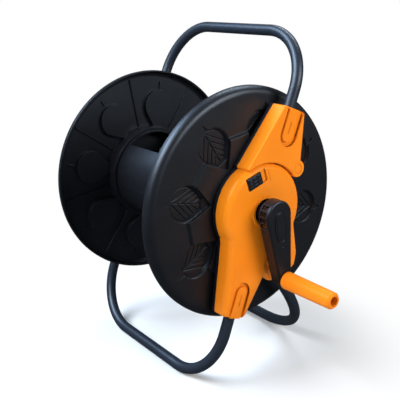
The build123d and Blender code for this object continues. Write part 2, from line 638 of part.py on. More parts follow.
def lock_slider():
    """The black button with its grip bars, at the free end of its travel."""
    shift = LOCK_TRAVEL / 2
    half = BUTTON_SIZE[1] / 2
    floor = COVER_FACE - BUTTON_SINK
    top = COVER_FACE + BUTTON_RISE
    body = radial_block(LOCK_ANGLE, (LOCK_RADIUS - half, LOCK_RADIUS + half),
                        (shift - BUTTON_SIZE[0] / 2, shift + BUTTON_SIZE[0] / 2), floor, top)
    body = fillet(body.faces().sort_by(Axis.X)[-1].edges(), BUTTON_EDGE_ROUND)
    tall, wide, rise = BUTTON_BAR
    for row in (-1, 0, 1):
        for column in (-1, 0, 1):
            middle, side = LOCK_RADIUS + BUTTON_BAR_PITCH[0] * row, shift + BUTTON_BAR_PITCH[1] * column
            body += radial_block(LOCK_ANGLE, (middle - tall / 2, middle + tall / 2),
                                 (side - wide / 2, side + wide / 2), top - LOOSE_GAP, top + rise)
    return body + radial_block(LOCK_ANGLE, (LOCK_RADIUS - STEM / 2, LOCK_RADIUS + STEM / 2),
                               (shift - STEM / 2, shift + STEM / 2), CLIP_TOP, floor)


def lock_slider_clip():
    """The plate behind the cover that holds the slider, with the peg that works the bolt."""
    shift = LOCK_TRAVEL / 2
    plate = radial_block(LOCK_ANGLE, (LOCK_RADIUS - STEM, LOCK_RADIUS + STEM), (shift - STEM, shift + STEM),
                         CLIP_TOP - CLIP_THICKNESS, CLIP_TOP)
    peg = rod(PEG_RADIUS, BOLT_START + 0.2, CLIP_TOP - CLIP_THICKNESS, (LOCK_RADIUS, shift))
    return plate + Rot(LOCK_ANGLE, 0, 0) * peg


def lock_bolt():
    """The bolt: a plate with a slanted slot for the peg, and a tip that drops into the lock ring."""
    shift = LOCK_TRAVEL / 2
    plate = radial_block(LOCK_ANGLE, (BOLT_REACH + BOLT_TIP_LENGTH / 2, LOCK_RADIUS + 2 * BOLT_TIP_LENGTH),
                         (-BOLT_PLATE_HALF, BOLT_PLATE_HALF), BOLT_START, BOLT_END)
    tip = radial_block(LOCK_ANGLE, (BOLT_REACH, BOLT_REACH + BOLT_TIP_LENGTH),
                       (-BOLT_WIDTH / 2, BOLT_WIDTH / 2), PLATE_INNER + 1.6, BOLT_END)
    ends = [(LOCK_RADIUS, shift), (LOCK_RADIUS + BOLT_TRAVEL, shift - LOCK_TRAVEL)]
    slot = teardrop(ends[0], PEG_RADIUS + 0.25, ends[1], PEG_RADIUS + 0.25)
    return plate + tip - slab(Rot(0, 0, LOCK_ANGLE) * slot, BOLT_START - 1, BOLT_END + 1)


def lock_guides():
    """Two ribs on the base plate that keep the bolt straight."""
    near = BOLT_PLATE_HALF + LOOSE_GAP
    far = near + GUIDE_WIDTH
    return [radial_block(LOCK_ANGLE, GUIDE_RADIAL, span, BASE_INNER + BASE_FLOOR - 1, BOLT_END)
            for span in ((near, far), (-far, -near))]


def lock_slot():
    """The slot in the base plate for the bolt's tip."""
    half = BOLT_WIDTH / 2 + LOOSE_GAP
    reach = (BOLT_REACH - BOLT_TRAVEL - 0.5, BOLT_REACH + BOLT_TIP_LENGTH + 0.5)
    return radial_block(LOCK_ANGLE, reach, (-half, half), BASE_INNER - 1, BASE_INNER + BASE_FLOOR)


def lock_ring():
    """The toothed ring on the crank-side flange that the bolt drops into."""
    teeth = ring(LOCK_RING[0], LOCK_RING[1], PLATE_INNER, BASE_INNER - 1.6)
    for index in range(NOTCH_COUNT):
        teeth -= radial_block(LOCK_ANGLE + index * 360 / NOTCH_COUNT, (NOTCH_FLOOR, LOCK_RING[0] + 2),
                              (-NOTCH_WIDTH / 2, NOTCH_WIDTH / 2), PLATE_INNER, BASE_INNER)
    return teeth


# ---- reel ----------------------------------------------------------------------------------------
def leaf_outline(grow=0.0):
    """One leaf pocket at angle 0: a round outer end that runs to a point towards the axle."""
    tip_round = 1.0 + grow
    return teardrop((LEAF_CENTRE, 0), LEAF_RADIUS + grow, (LEAF_TIP + 1.6, 0), tip_round)


def leaf_mouth():
    """The deep part of a leaf pocket's outline, which stops short of the drum's collar."""
    return leaf_outline() & (Circle(FLANGE_RADIUS) - Circle(COLLAR_RADIUS + 4))


def leaf_cutter():
    """What one leaf pocket takes out of a flange: the deep bowl, the shallow tip and the stem."""
    mouth = leaf_mouth()
    bowl = slab(mouth, FLANGE_FACE, PLATEAU + 1)
    bowl += extrude(side_plane(FLANGE_FACE) * mouth, amount=-LEAF_DEPTH, taper=LEAF_DRAFT)
    tip = slab(leaf_outline(), FLANGE_FACE - LEAF_TIP_DEPTH, PLATEAU + 1)
    stem = slab(teardrop((LEAF_CENTRE + LEAF_RADIUS - 2, 0), LEAF_STEM_WIDTH, (LEAF_STEM, 0),
                         LEAF_STEM_WIDTH / 2), FLANGE_FACE - LEAF_TIP_DEPTH - 0.3, PLATEAU + 1)
    return bowl + tip + stem + leaf_veins()


def leaf_veins():
    """The veins cut into one pocket's floor: a midrib and pairs of side veins that point to the tip."""
    base = FLANGE_FACE - LEAF_DEPTH
    edge = LEAF_DEPTH * tan(radians(LEAF_DRAFT)) + 0.4
    drawn = Pos(LEAF_CENTRE, 0) * Rectangle(4 * LEAF_RADIUS, 1.4 * VEIN_WIDTH)
    for place in VEIN_PLACES:
        for side in (1, -1):
            vein = Pos(LEAF_RADIUS / 2, 0) * Rectangle(LEAF_RADIUS, VEIN_WIDTH)
            drawn += Pos(place, 0) * Rot(0, 0, side * (180 - VEIN_ANGLE)) * vein
    return slab(drawn & offset(leaf_mouth(), -edge), base - VEIN_DEPTH, base + 1)


def around(shape, index):
    """A shape drawn at angle 0 turned to one of the leaf places."""
    return Rot(LEAF_PHASE + index * 360 / LEAF_COUNT, 0, 0) * shape


def flange():
    """A flange without its hub: dished plate, rolled rim, raised eight-sided centre and leaf pockets."""
    rim_inner = FLANGE_FACE - RIM_WIDTH
    collar_end = PLATE_INNER - COLLAR_LENGTH
    body = turned(
        [(WEB_INNER, 0), (WEB_INNER, RECESS_RADIUS + RECESS_WALL), (PLATE_INNER, RECESS_RADIUS + RECESS_WALL),
         (PLATE_INNER, DRUM_RADIUS + SEAT_GAP), (collar_end, DRUM_RADIUS + SEAT_GAP),
         (collar_end, COLLAR_RADIUS), (PLATE_INNER, COLLAR_RADIUS), (PLATE_INNER, FLANGE_RADIUS - RIM_WALL),
         (rim_inner, FLANGE_RADIUS - RIM_WALL), (rim_inner, FLANGE_RADIUS), (FLANGE_FACE, FLANGE_RADIUS),
         (FLANGE_FACE, RECESS_RADIUS), (PLATE_INNER, RECESS_RADIUS), (PLATE_INNER, 0)],
        [((FLANGE_FACE, FLANGE_RADIUS), RIM_SOFT_EDGE),
         ((PLATE_INNER, FLANGE_RADIUS - RIM_WALL), RIM_SOFT_EDGE - RIM_WALL)],
    )
    octagon = RegularPolygon(PLATEAU_APOTHEM + PLATEAU_HEIGHT, LEAF_COUNT, major_radius=False)
    lift = extrude(side_plane(FLANGE_FACE) * Rot(0, 0, LEAF_PHASE) * octagon,
                   amount=PLATEAU_HEIGHT, taper=45)
    body += lift - rod(RECESS_RADIUS, FLANGE_FACE, PLATEAU)
    backs = slab(leaf_outline(-LEAF_BACK_INSET) & (Circle(FLANGE_RADIUS) - Circle(COLLAR_RADIUS - 1)),
                 FLANGE_FACE - LEAF_DEPTH - PLATE + 0.5, PLATE_INNER)
    tick = radial_block(0, (LEAF_CENTRE + LEAF_RADIUS + 1, LEAF_STEM + 5), (-RIB_WIDTH / 2, RIB_WIDTH / 2),
                        PLATE_INNER - RIB_HEIGHT, PLATE_INNER)
    rib = radial_block(180 / LEAF_COUNT, (COLLAR_RADIUS - 1, FLANGE_RADIUS - RIM_SOFT_EDGE),
                       (-RIB_WIDTH / 2, RIB_WIDTH / 2), PLATE_INNER - RIB_HEIGHT, PLATE_INNER)
    cutter = leaf_cutter()
    body += [around(part, index) for index in range(LEAF_COUNT) for part in (backs, tick, rib)]
    return body - [around(cutter, index) for index in range(LEAF_COUNT)]


def with_drum_holes(body):
    """Holes for the four screws that hold the drum to one flange."""
    for angle in (*UPPER_DRUM_SCREWS, *LOWER_DRUM_SCREWS):
        body -= rod(SCREW_RADIUS + SCREW_HOLE_GAP, WEB_INNER - 1, PLATEAU, polar(DRUM_SCREW_RADIUS, angle))
    return body


def crank_side_flange():
    """The flange that the crank drives, with its journal, neck and lock ring."""
    hub = rod(HUB_SLEEVE_RADIUS, HUB_INNER, PLATE_INNER)
    journal_end = BEARING_END - JOURNAL_END_PLAY
    journal = rod(JOURNAL_RADIUS, PLATE_INNER - 1, journal_end)
    neck = slab(neck_outline(NECK_RADIUS), journal_end, CRANK_FACE - CRANK_SOCKET_FLOOR - SEAT_GAP)
    bore = rod(NECK_BORE[0], CRANK_FACE - NECK_BORE[1], CRANK_FACE)
    return with_drum_holes(flange() + hub + journal + neck + lock_ring() - bore)


def neck_outline(radius):
    """The round neck with two flats that drive the crank."""
    return Circle(radius) & Rectangle(2 * radius, 2 * (radius - NECK_FLAT))


def inlet_side_flange():
    """The flange on the water inlet's side, in crank-side coordinates, with a hollow journal."""
    hub = rod(HUB_SLEEVE_RADIUS, HUB_INNER, PLATE_INNER)
    journal = rod(JOURNAL_RADIUS, PLATE_INNER - 1, BEARING_END - JOURNAL_END_PLAY)
    bore = rod(SHAFT_RADIUS + SEAT_GAP, HUB_INNER - 1, BEARING_END)
    return with_drum_holes(flange() + hub + journal - bore)


def drum_shell(start_angle, screw_angles, with_cutaway):
    """Half of the drum with the bosses for its screws, and the cutaway where the hose goes in."""
    half_length = WEB_INNER - SEAT_GAP
    above = Pos(0, DRUM_RADIUS) * Rectangle(4 * DRUM_RADIUS, 2 * DRUM_RADIUS - LOOSE_GAP)
    half_disc = slab(Circle(DRUM_RADIUS + 1) & above, -half_length, half_length)
    keep = Rot(start_angle, 0, 0) * half_disc
    shell = ring(DRUM_RADIUS, DRUM_RADIUS - DRUM_WALL, -half_length, half_length)
    for angle in screw_angles:
        spine = radial_block(angle, (DRUM_SCREW_RADIUS, DRUM_RADIUS - DRUM_WALL + 0.5), (-1.5, 1.5),
                             half_length - DRUM_SCREW_LENGTH, half_length)
        boss = rod(BOSS_RADIUS - 1, half_length - DRUM_SCREW_LENGTH, half_length,
                   polar(DRUM_SCREW_RADIUS, angle)) + spine
        shell = shell + boss + inlet_side(boss)
        hole = rod(SCREW_RADIUS + SCREW_HOLE_GAP, -half_length - 1, half_length + 1,
                   polar(DRUM_SCREW_RADIUS, angle))
        shell -= hole
    shell = shell & keep
    if with_cutaway:
        low, high = CUTAWAY_ANGLES
        start = -(PLATE_INNER - COLLAR_LENGTH) + 3.0
        corners = [(0, 0), polar(2 * DRUM_RADIUS, low), polar(2 * DRUM_RADIUS, (low + high) / 2),
                   polar(2 * DRUM_RADIUS, high)]
        wedge = slab(make_face(Polyline(*corners, close=True)) - Circle(DRUM_RADIUS - DRUM_WALL - 1),
                     start, start + CUTAWAY_LENGTH)
        shell -= wedge
    return shell


def drum_screws():
    """The four screws that hold the drum to one flange."""
    length = DRUM_SCREW_LENGTH - 4
    return [screw(PLATE_INNER + SCREW_HEAD_HEIGHT, WEB_INNER - length, polar(DRUM_SCREW_RADIUS, angle))
            for angle in (*UPPER_DRUM_SCREWS, *LOWER_DRUM_SCREWS)]


# ---- crank and grip ------------------------------------------------------------------------------
def crank_outline(grow=0.0):
    """The arm: a big round hub that tapers to the grip's end."""
    return teardrop((0, 0), CRANK_HUB + grow, GRIP_AXIS, CRANK_TIP + grow)


def crank_oval(grow=0.0):
    """The oval on the arm's face, in line with the arm."""
    centre = (OVAL_ALONG * sin(radians(CRANK_SWING)), -OVAL_ALONG * cos(radians(CRANK_SWING)))
    return Pos(*centre) * Rot(0, 0, CRANK_SWING) * Ellipse(OVAL_RADII[0] + grow, OVAL_RADII[1] + grow)


def crank_arm():
    """The crank: an open-backed arm with a socket for the neck, ribs and windows round its hub."""
    arm = slab(crank_outline(), CRANK_INNER, CRANK_FACE)
    arm = fillet(arm.faces().sort_by(Axis.X)[-1].edges(), CRANK_EDGE_ROUND)
    arm -= slab(crank_outline(-CRANK_WALL), CRANK_INNER, CRANK_FACE - CRANK_WALL - 1)
    arm += rod(NECK_RADIUS + CRANK_SOCKET_WALL, COVER_FACE - CRANK_SOCKET_SINK, CRANK_FACE - CRANK_WALL)
    arm += rod(CRANK_TIP - 1, CRANK_INNER, CRANK_FACE - CRANK_WALL, GRIP_AXIS)
    arm -= [radial_block(angle, (CRANK_HUB - 5, CRANK_HUB + 3), (-WINDOW_SIZE[1] / 2, WINDOW_SIZE[1] / 2),
                         CRANK_INNER + WINDOW_INSET, CRANK_INNER + WINDOW_INSET + WINDOW_SIZE[0])
            for angle in WINDOW_ANGLES]
    arm += radial_block(CRANK_SWING - 90, (NECK_RADIUS + 2, CRANK_REACH - 8), (-CRANK_RIB / 2, CRANK_RIB / 2),
                        CRANK_INNER + CRANK_RIB, CRANK_FACE - CRANK_WALL)
    arm -= slab(neck_outline(NECK_RADIUS + SEAT_GAP), COVER_FACE - CRANK_SOCKET_SINK,
                CRANK_FACE - CRANK_SOCKET_FLOOR)
    arm -= rod(CRANK_SCREW[0] + 2 * LOOSE_GAP, CRANK_FACE - CRANK_SCREW_SEAT, CRANK_FACE + 1)
    arm -= rod(CRANK_SCREW[2] + 2 * SCREW_HOLE_GAP, CRANK_FACE - CRANK_SOCKET_FLOOR - 1, CRANK_FACE)
    arm -= slab(crank_oval(LOOSE_GAP), CRANK_FACE - OVAL_SEAT, CRANK_FACE + 1)
    arm -= rod(PIN_RADIUS + FIT_GAP, CRANK_INNER, CRANK_FACE + 1, GRIP_AXIS)
    notch = OVAL_ALONG + OVAL_RADII[1] + NOTCH_MARK_GAP
    along, across, depth = NOTCH_MARK
    return arm - radial_block(CRANK_SWING - 90, (notch - along / 2, notch + along / 2),
                              (-across / 2, across / 2), CRANK_FACE - depth, CRANK_FACE)


def crank_cap():
    """The plain oval cap over the crank's screw."""
    top = CRANK_FACE + OVAL_RISE
    cap = slab(crank_oval(), CRANK_FACE - OVAL_SEAT, top)
    cap = fillet(cap.faces().sort_by(Axis.X)[-1].edges(), OVAL_EDGE_ROUND)
    return cap - slab(crank_oval(-OVAL_LINE[0]) - crank_oval(-OVAL_LINE[1]), top - LINE_DEPTH, top + 1)


def crank_screw():
    """The screw that keeps the crank on the neck."""
    head = CRANK_FACE - CRANK_SCREW_SEAT + CRANK_SCREW[1]
    return screw(head, head - CRANK_SCREW_LENGTH, (0, 0), *CRANK_SCREW)


def grip_pin():
    """The steel pin that the grip turns on, with a round head in the grip's end."""
    head_at = GRIP_FAR - GRIP_RECESS_DEPTH + LOOSE_GAP
    bar = rod(PIN_RADIUS, CRANK_INNER + 1, head_at, GRIP_AXIS)
    collar = rod(PIN_RADIUS + PIN_COLLAR, CRANK_FACE, GRIP_START - 2 * SEAT_GAP, GRIP_AXIS)
    top = head_at + PIN_HEAD_HEIGHT
    head = rod(PIN_HEAD, head_at, top, GRIP_AXIS)
    slot = slab(Pos(*GRIP_AXIS) * Rectangle(2 * PIN_HEAD + 1, PIN_SLOT[0]), top - PIN_SLOT[1], top + 1)
    return bar + collar + head - slot


def grip():
    """The turning grip: a slightly tapered barrel with a bevelled end and a recess for the pin's head."""
    bore = PIN_RADIUS + FIT_GAP
    recess_floor = GRIP_FAR - GRIP_RECESS_DEPTH
    profile = [(GRIP_START, bore), (GRIP_START, GRIP_RADIUS - 1.0), (GRIP_START + 1.0, GRIP_RADIUS),
               (GRIP_FAR - GRIP_CHAMFER, GRIP_END_RADIUS), (GRIP_FAR, GRIP_END_RADIUS - GRIP_CHAMFER + 0.6),
               (GRIP_FAR, GRIP_RECESS), (recess_floor, GRIP_RECESS), (recess_floor, bore)]
    corner = ((GRIP_FAR - GRIP_CHAMFER, GRIP_END_RADIUS), 4.0)
    return Pos(0, *GRIP_AXIS) * turned(profile, [corner])


# ---- water way, drawn in crank-side coordinates ---------------------------------------------------
def water_shaft():
    """The hollow shaft that turns with the reel and carries water from the inlet into the drum."""
    inner_end = ELBOW_END - SOCKET_DEPTH
    tip = INLET_SHOULDER + SHAFT_INSERT - SHAFT_END_PLAY - JOURNAL_END_PLAY
    collar_at = BEARING_END - 0.4
    shaft = ring(SHAFT_RADIUS, WATER_BORE, inner_end, tip)
    shaft += ring(SHAFT_RADIUS + SHAFT_COLLAR, WATER_BORE, collar_at, collar_at + SHAFT_COLLAR_THICKNESS)
    for place in ORING_PLACES:
        middle = INLET_SHOULDER + place
        shaft -= ring(SHAFT_RADIUS + 1, SHAFT_RADIUS - 2 * ORING_SECTION - 0.05,
                      middle - ORING_GROOVE / 2, middle + ORING_GROOVE / 2)
    return shaft


def shaft_o_rings():
    """The two seals on the water shaft."""
    middle = SHAFT_RADIUS - ORING_SECTION
    section = Plane.XZ * Pos(0, middle) * Circle(ORING_SECTION)
    return [Pos(INLET_SHOULDER + place, 0, 0) * revolve(section, Axis.X) for place in ORING_PLACES]


def shaft_nut():
    """The hexagonal nut that holds the water shaft in the flange."""
    end = HUB_INNER - SEAT_GAP
    return slab(RegularPolygon(NUT_RADIUS, 6) - Circle(SHAFT_RADIUS + SEAT_GAP), end - NUT_LENGTH, end)


def on_branch(shape):
    """Turns a shape drawn along +Z at the axle to the branch's direction and place."""
    return Pos(BRANCH_X, 0, 0) * Rot(BRANCH_ANGLE - 90, 0, 0) * shape


def outlet_elbow():
    """The elbow in the drum that turns the water out towards the cutaway."""
    body = rod(ELBOW_RADIUS, ELBOW_END - ELBOW_LENGTH, ELBOW_END)
    branch = on_branch(Pos(0, 0, BRANCH_TOP / 2) * Cylinder(BRANCH_RADIUS, BRANCH_TOP))
    socket = rod(SHAFT_RADIUS + SEAT_GAP, ELBOW_END - SOCKET_DEPTH - SEAT_GAP, ELBOW_END)
    way = rod(WATER_BORE, BRANCH_X - WATER_BORE, ELBOW_END)
    up = on_branch(Pos(0, 0, BRANCH_TOP / 2) * Cylinder(WATER_BORE, BRANCH_TOP))
    return body + branch - socket - way - up


def nipple_profile(base, length):
    """Half section of a push-on hose nipple, as (distance along, radius) from its hexagonal root."""
    foot, barb_from, barb_crest, barb_to = (base + step for step in NIPPLE_STEPS)
    plain, barb = NIPPLE_RADIUS, NIPPLE_RADIUS + NIPPLE_BARB
    end = base + length + NIPPLE_CHAMFER
    return [(base, NIPPLE_BORE), (base, plain + NIPPLE_HEX), (foot, plain + NIPPLE_HEX), (foot, plain),
            (barb_from, plain), (barb_from, barb), (barb_crest, barb), (barb_to, plain),
            (end - NIPPLE_CHAMFER, plain), (end, plain - NIPPLE_CHAMFER), (end, NIPPLE_BORE)]


def outlet_nipple():
    """The nipple that the hose's first end pushes onto, inside the drum."""
    points = [(radius, along) for along, radius in nipple_profile(BRANCH_TOP, OUTLET_NIPPLE_LENGTH)]
    return on_branch(revolve(Plane.XZ * make_face(Polyline(*points, close=True)), Axis.Z))


def inlet_body():
    """The fixed inlet: a flange screwed to the bearing, with the bore that the water shaft turns in."""
    body = rod(BEARING_BOSS, BEARING_END, INLET_SHOULDER)
    body += rod(INLET_SLEEVE, INLET_SHOULDER, INLET_SLEEVE_END)
    body -= rod(SHAFT_RADIUS + SHAFT_COLLAR + 0.4, BEARING_END, BEARING_END + SHAFT_COLLAR_THICKNESS)
    body -= rod(SHAFT_RADIUS + FIT_GAP, BEARING_END, INLET_SHOULDER + SHAFT_INSERT - SHAFT_END_PLAY)
    body -= rod(WATER_BORE, BEARING_END, INLET_SLEEVE_END)
    for angle in BODY_SCREW_ANGLES:
        body -= rod(BODY_SCREW[2] + SCREW_HOLE_GAP, BEARING_END, INLET_SHOULDER,
                    polar(BODY_SCREW_PITCH, angle))
    return body


def inlet_body_screws():
    """The three small screws that hold the inlet body."""
    head = INLET_SHOULDER + BODY_SCREW[1]
    return [screw(head, BEARING_END - SCREW_BITE, polar(BODY_SCREW_PITCH, angle), *BODY_SCREW)
            for angle in BODY_SCREW_ANGLES]


def inlet_nut():
    """The ribbed nut that joins the inlet nipple to the inlet body."""
    nut = rod(INLET_SLEEVE + INLET_NUT_WALL, INLET_SLEEVE_END + SEAT_GAP, INLET_NUT_END)
    nut = chamfer(nut.edges().filter_by(GeomType.CIRCLE), INLET_NUT_EDGE)
    groove = rod(INLET_NUT_EDGE, INLET_SLEEVE_END, INLET_NUT_END, (INLET_SLEEVE + INLET_NUT_WALL + 0.5, 0))
    nut -= [Rot(index * 360 / INLET_NUT_GROOVES, 0, 0) * groove for index in range(INLET_NUT_GROOVES)]
    return nut - rod(WATER_BORE, INLET_SLEEVE_END, INLET_NUT_END)


def inlet_nipple():
    """The nipple that the supply hose's connector pushes onto."""
    return turned(nipple_profile(INLET_NUT_END + SEAT_GAP, NIPPLE_LENGTH))


# ---- assembly ------------------------------------------------------------------------------------
nodes = {
    "handle_tube": bent_tube(HANDLE),
    "front_foot_tube": bent_tube(FRONT_FOOT),
    "rear_foot_tube": bent_tube(REAR_FOOT),
    "crank_side_base_plate": base_plate(True),
    "crank_side_upper_cover": upper_cover(),
    "crank_side_lower_cover": lower_cover(True),
    "crank_side_cover_screws": Compound(cover_screws()),
    "crank_side_tube_screws": Compound(tube_screws()),
    "crank_side_cap_screw": cap_screw(),
    "crank_side_screw_cap": screw_cap(),
    "crank_side_bush": bush(),
    "inlet_side_base_plate": inlet_side(base_plate(False)),
    "inlet_side_upper_cover": inlet_side(upper_cover()),
    "inlet_side_lower_cover": inlet_side(lower_cover(False)),
    "inlet_side_cover_screws": Compound([inlet_side(piece) for piece in cover_screws()]),
    "inlet_side_tube_screws": Compound([inlet_side(piece) for piece in tube_screws()]),
    "inlet_side_cap_screw": inlet_side(cap_screw()),
    "inlet_side_screw_cap": inlet_side(screw_cap()),
    "inlet_side_bush": inlet_side(bush()),
    "lock_slider": lock_slider(),
    "lock_slider_clip": lock_slider_clip(),
    "lock_bolt": lock_bolt(),
    "crank_side_flange": crank_side_flange(),
    "inlet_side_flange": inlet_side(inlet_side_flange()),
    "drum_upper_shell": drum_shell(DRUM_SPLIT, UPPER_DRUM_SCREWS, True),
    "drum_lower_shell": drum_shell(DRUM_SPLIT + 180, LOWER_DRUM_SCREWS, False),
    "crank_side_drum_screws": Compound(drum_screws()),
    "inlet_side_drum_screws": Compound([inlet_side(piece) for piece in drum_screws()]),
    "crank_arm": crank_arm(),
    "crank_cap": crank_cap(),
    "crank_screw": crank_screw(),
    "grip_pin": grip_pin(),
    "grip": grip(),
    "water_shaft": inlet_side(water_shaft()),
    "shaft_o_rings": Compound([inlet_side(piece) for piece in shaft_o_rings()]),
    "shaft_nut": inlet_side(shaft_nut()),
    "outlet_elbow": inlet_side(outlet_elbow()),
    "outlet_nipple": inlet_side(outlet_nipple()),
    "inlet_body": inlet_side(inlet_body()),
    "inlet_body_screws": Compound([inlet_side(piece) for piece in inlet_body_screws()]),
    "inlet_nut": inlet_side(inlet_nut()),
    "inlet_nipple": inlet_side(inlet_nipple()),
}

# The reel's flanges end the box to the front and to the rear, so only X and Z have to move.
ORIGIN = Pos((NIPPLE_FAR - GRIP_FAR) / 2, 0, AXLE_HEIGHT)

os.makedirs("parts", exist_ok=True)
for name, shape in nodes.items():
    export_step(ORIGIN * shape, f"parts/{name}.step")
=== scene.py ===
"""Looks of the portable garden hose reel: its finishes, the pieces with finer meshes, and a plain studio."""

import json
import logging
import math
from dataclasses import dataclass
from enum import Enum
from typing import Any

import bpy
import numpy as np
from mathutils import Matrix, Vector

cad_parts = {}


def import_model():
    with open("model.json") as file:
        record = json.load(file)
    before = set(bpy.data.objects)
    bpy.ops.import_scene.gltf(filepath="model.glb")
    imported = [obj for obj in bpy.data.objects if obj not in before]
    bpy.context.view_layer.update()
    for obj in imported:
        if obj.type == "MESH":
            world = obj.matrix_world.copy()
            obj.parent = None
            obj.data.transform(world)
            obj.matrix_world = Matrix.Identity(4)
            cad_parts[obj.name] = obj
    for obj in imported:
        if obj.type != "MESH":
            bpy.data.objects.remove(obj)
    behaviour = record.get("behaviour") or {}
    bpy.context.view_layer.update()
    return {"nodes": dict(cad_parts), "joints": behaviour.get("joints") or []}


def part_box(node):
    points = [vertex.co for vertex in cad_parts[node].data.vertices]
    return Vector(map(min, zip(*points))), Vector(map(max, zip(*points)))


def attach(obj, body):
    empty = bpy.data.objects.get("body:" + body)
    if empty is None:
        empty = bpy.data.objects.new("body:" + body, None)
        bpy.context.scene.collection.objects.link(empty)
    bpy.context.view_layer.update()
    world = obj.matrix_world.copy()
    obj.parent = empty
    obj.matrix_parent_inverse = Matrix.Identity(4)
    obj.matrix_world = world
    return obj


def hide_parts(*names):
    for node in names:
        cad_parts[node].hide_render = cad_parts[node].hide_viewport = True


LOG = logging.getLogger("hose_reel")
MM = 0.001
SHARP_ANGLE = 38.0
WHITE = (1.0, 1.0, 1.0)


# ---- shader graphs -------------------------------------------------------------------------------
class Signal:
    """A number that changes over a surface: it wraps a socket, and arithmetic on it adds Math nodes."""

    def __init__(self, graph: "Graph", socket: bpy.types.NodeSocket) -> None:
        """Keeps the graph and the socket.

        Args:
            graph: The graph that new nodes are added to.
            socket: The output socket that holds the number.
        """
        self.graph = graph
        self.socket = socket

    def __add__(self, other: "Signal | float") -> "Signal":
        """Sum."""
        return self.graph.maths("ADD", self, other)

    def __radd__(self, other: float) -> "Signal":
        """Sum with a number on the left."""
        return self.graph.maths("ADD", other, self)

    def __sub__(self, other: "Signal | float") -> "Signal":
        """Difference."""
        return self.graph.maths("SUBTRACT", self, other)

    def __rsub__(self, other: float) -> "Signal":
        """Difference with a number on the left."""
        return self.graph.maths("SUBTRACT", other, self)

    def __mul__(self, other: "Signal | float") -> "Signal":
        """Product."""
        return self.graph.maths("MULTIPLY", self, other)

    def __rmul__(self, other: float) -> "Signal":
        """Product with a number on the left."""
        return self.graph.maths("MULTIPLY", other, self)

    def __truediv__(self, other: "Signal | float") -> "Signal":
        """Quotient."""
        return self.graph.maths("DIVIDE", self, other)

    def __rtruediv__(self, other: float) -> "Signal":
        """Quotient with a number on the left."""
        return self.graph.maths("DIVIDE", other, self)

    def __pow__(self, other: "Signal | float") -> "Signal":
        """Power."""
        return self.graph.maths("POWER", self, other)

    def step(self, low: float, high: float) -> "Signal":
        """A smooth step from 0 at `low` to 1 at `high`.

        Args:
            low: The value at and under which the result is 0.
            high: The value at and over which the result is 1.

        Returns:
            The stepped signal.
        """
        node = self.graph.node(
            "ShaderNodeMapRange", {"interpolation_type": "SMOOTHSTEP"},
            {"Value": self, "From Min": low, "From Max": high},
        )
        return self.graph.signal(node, "Result")


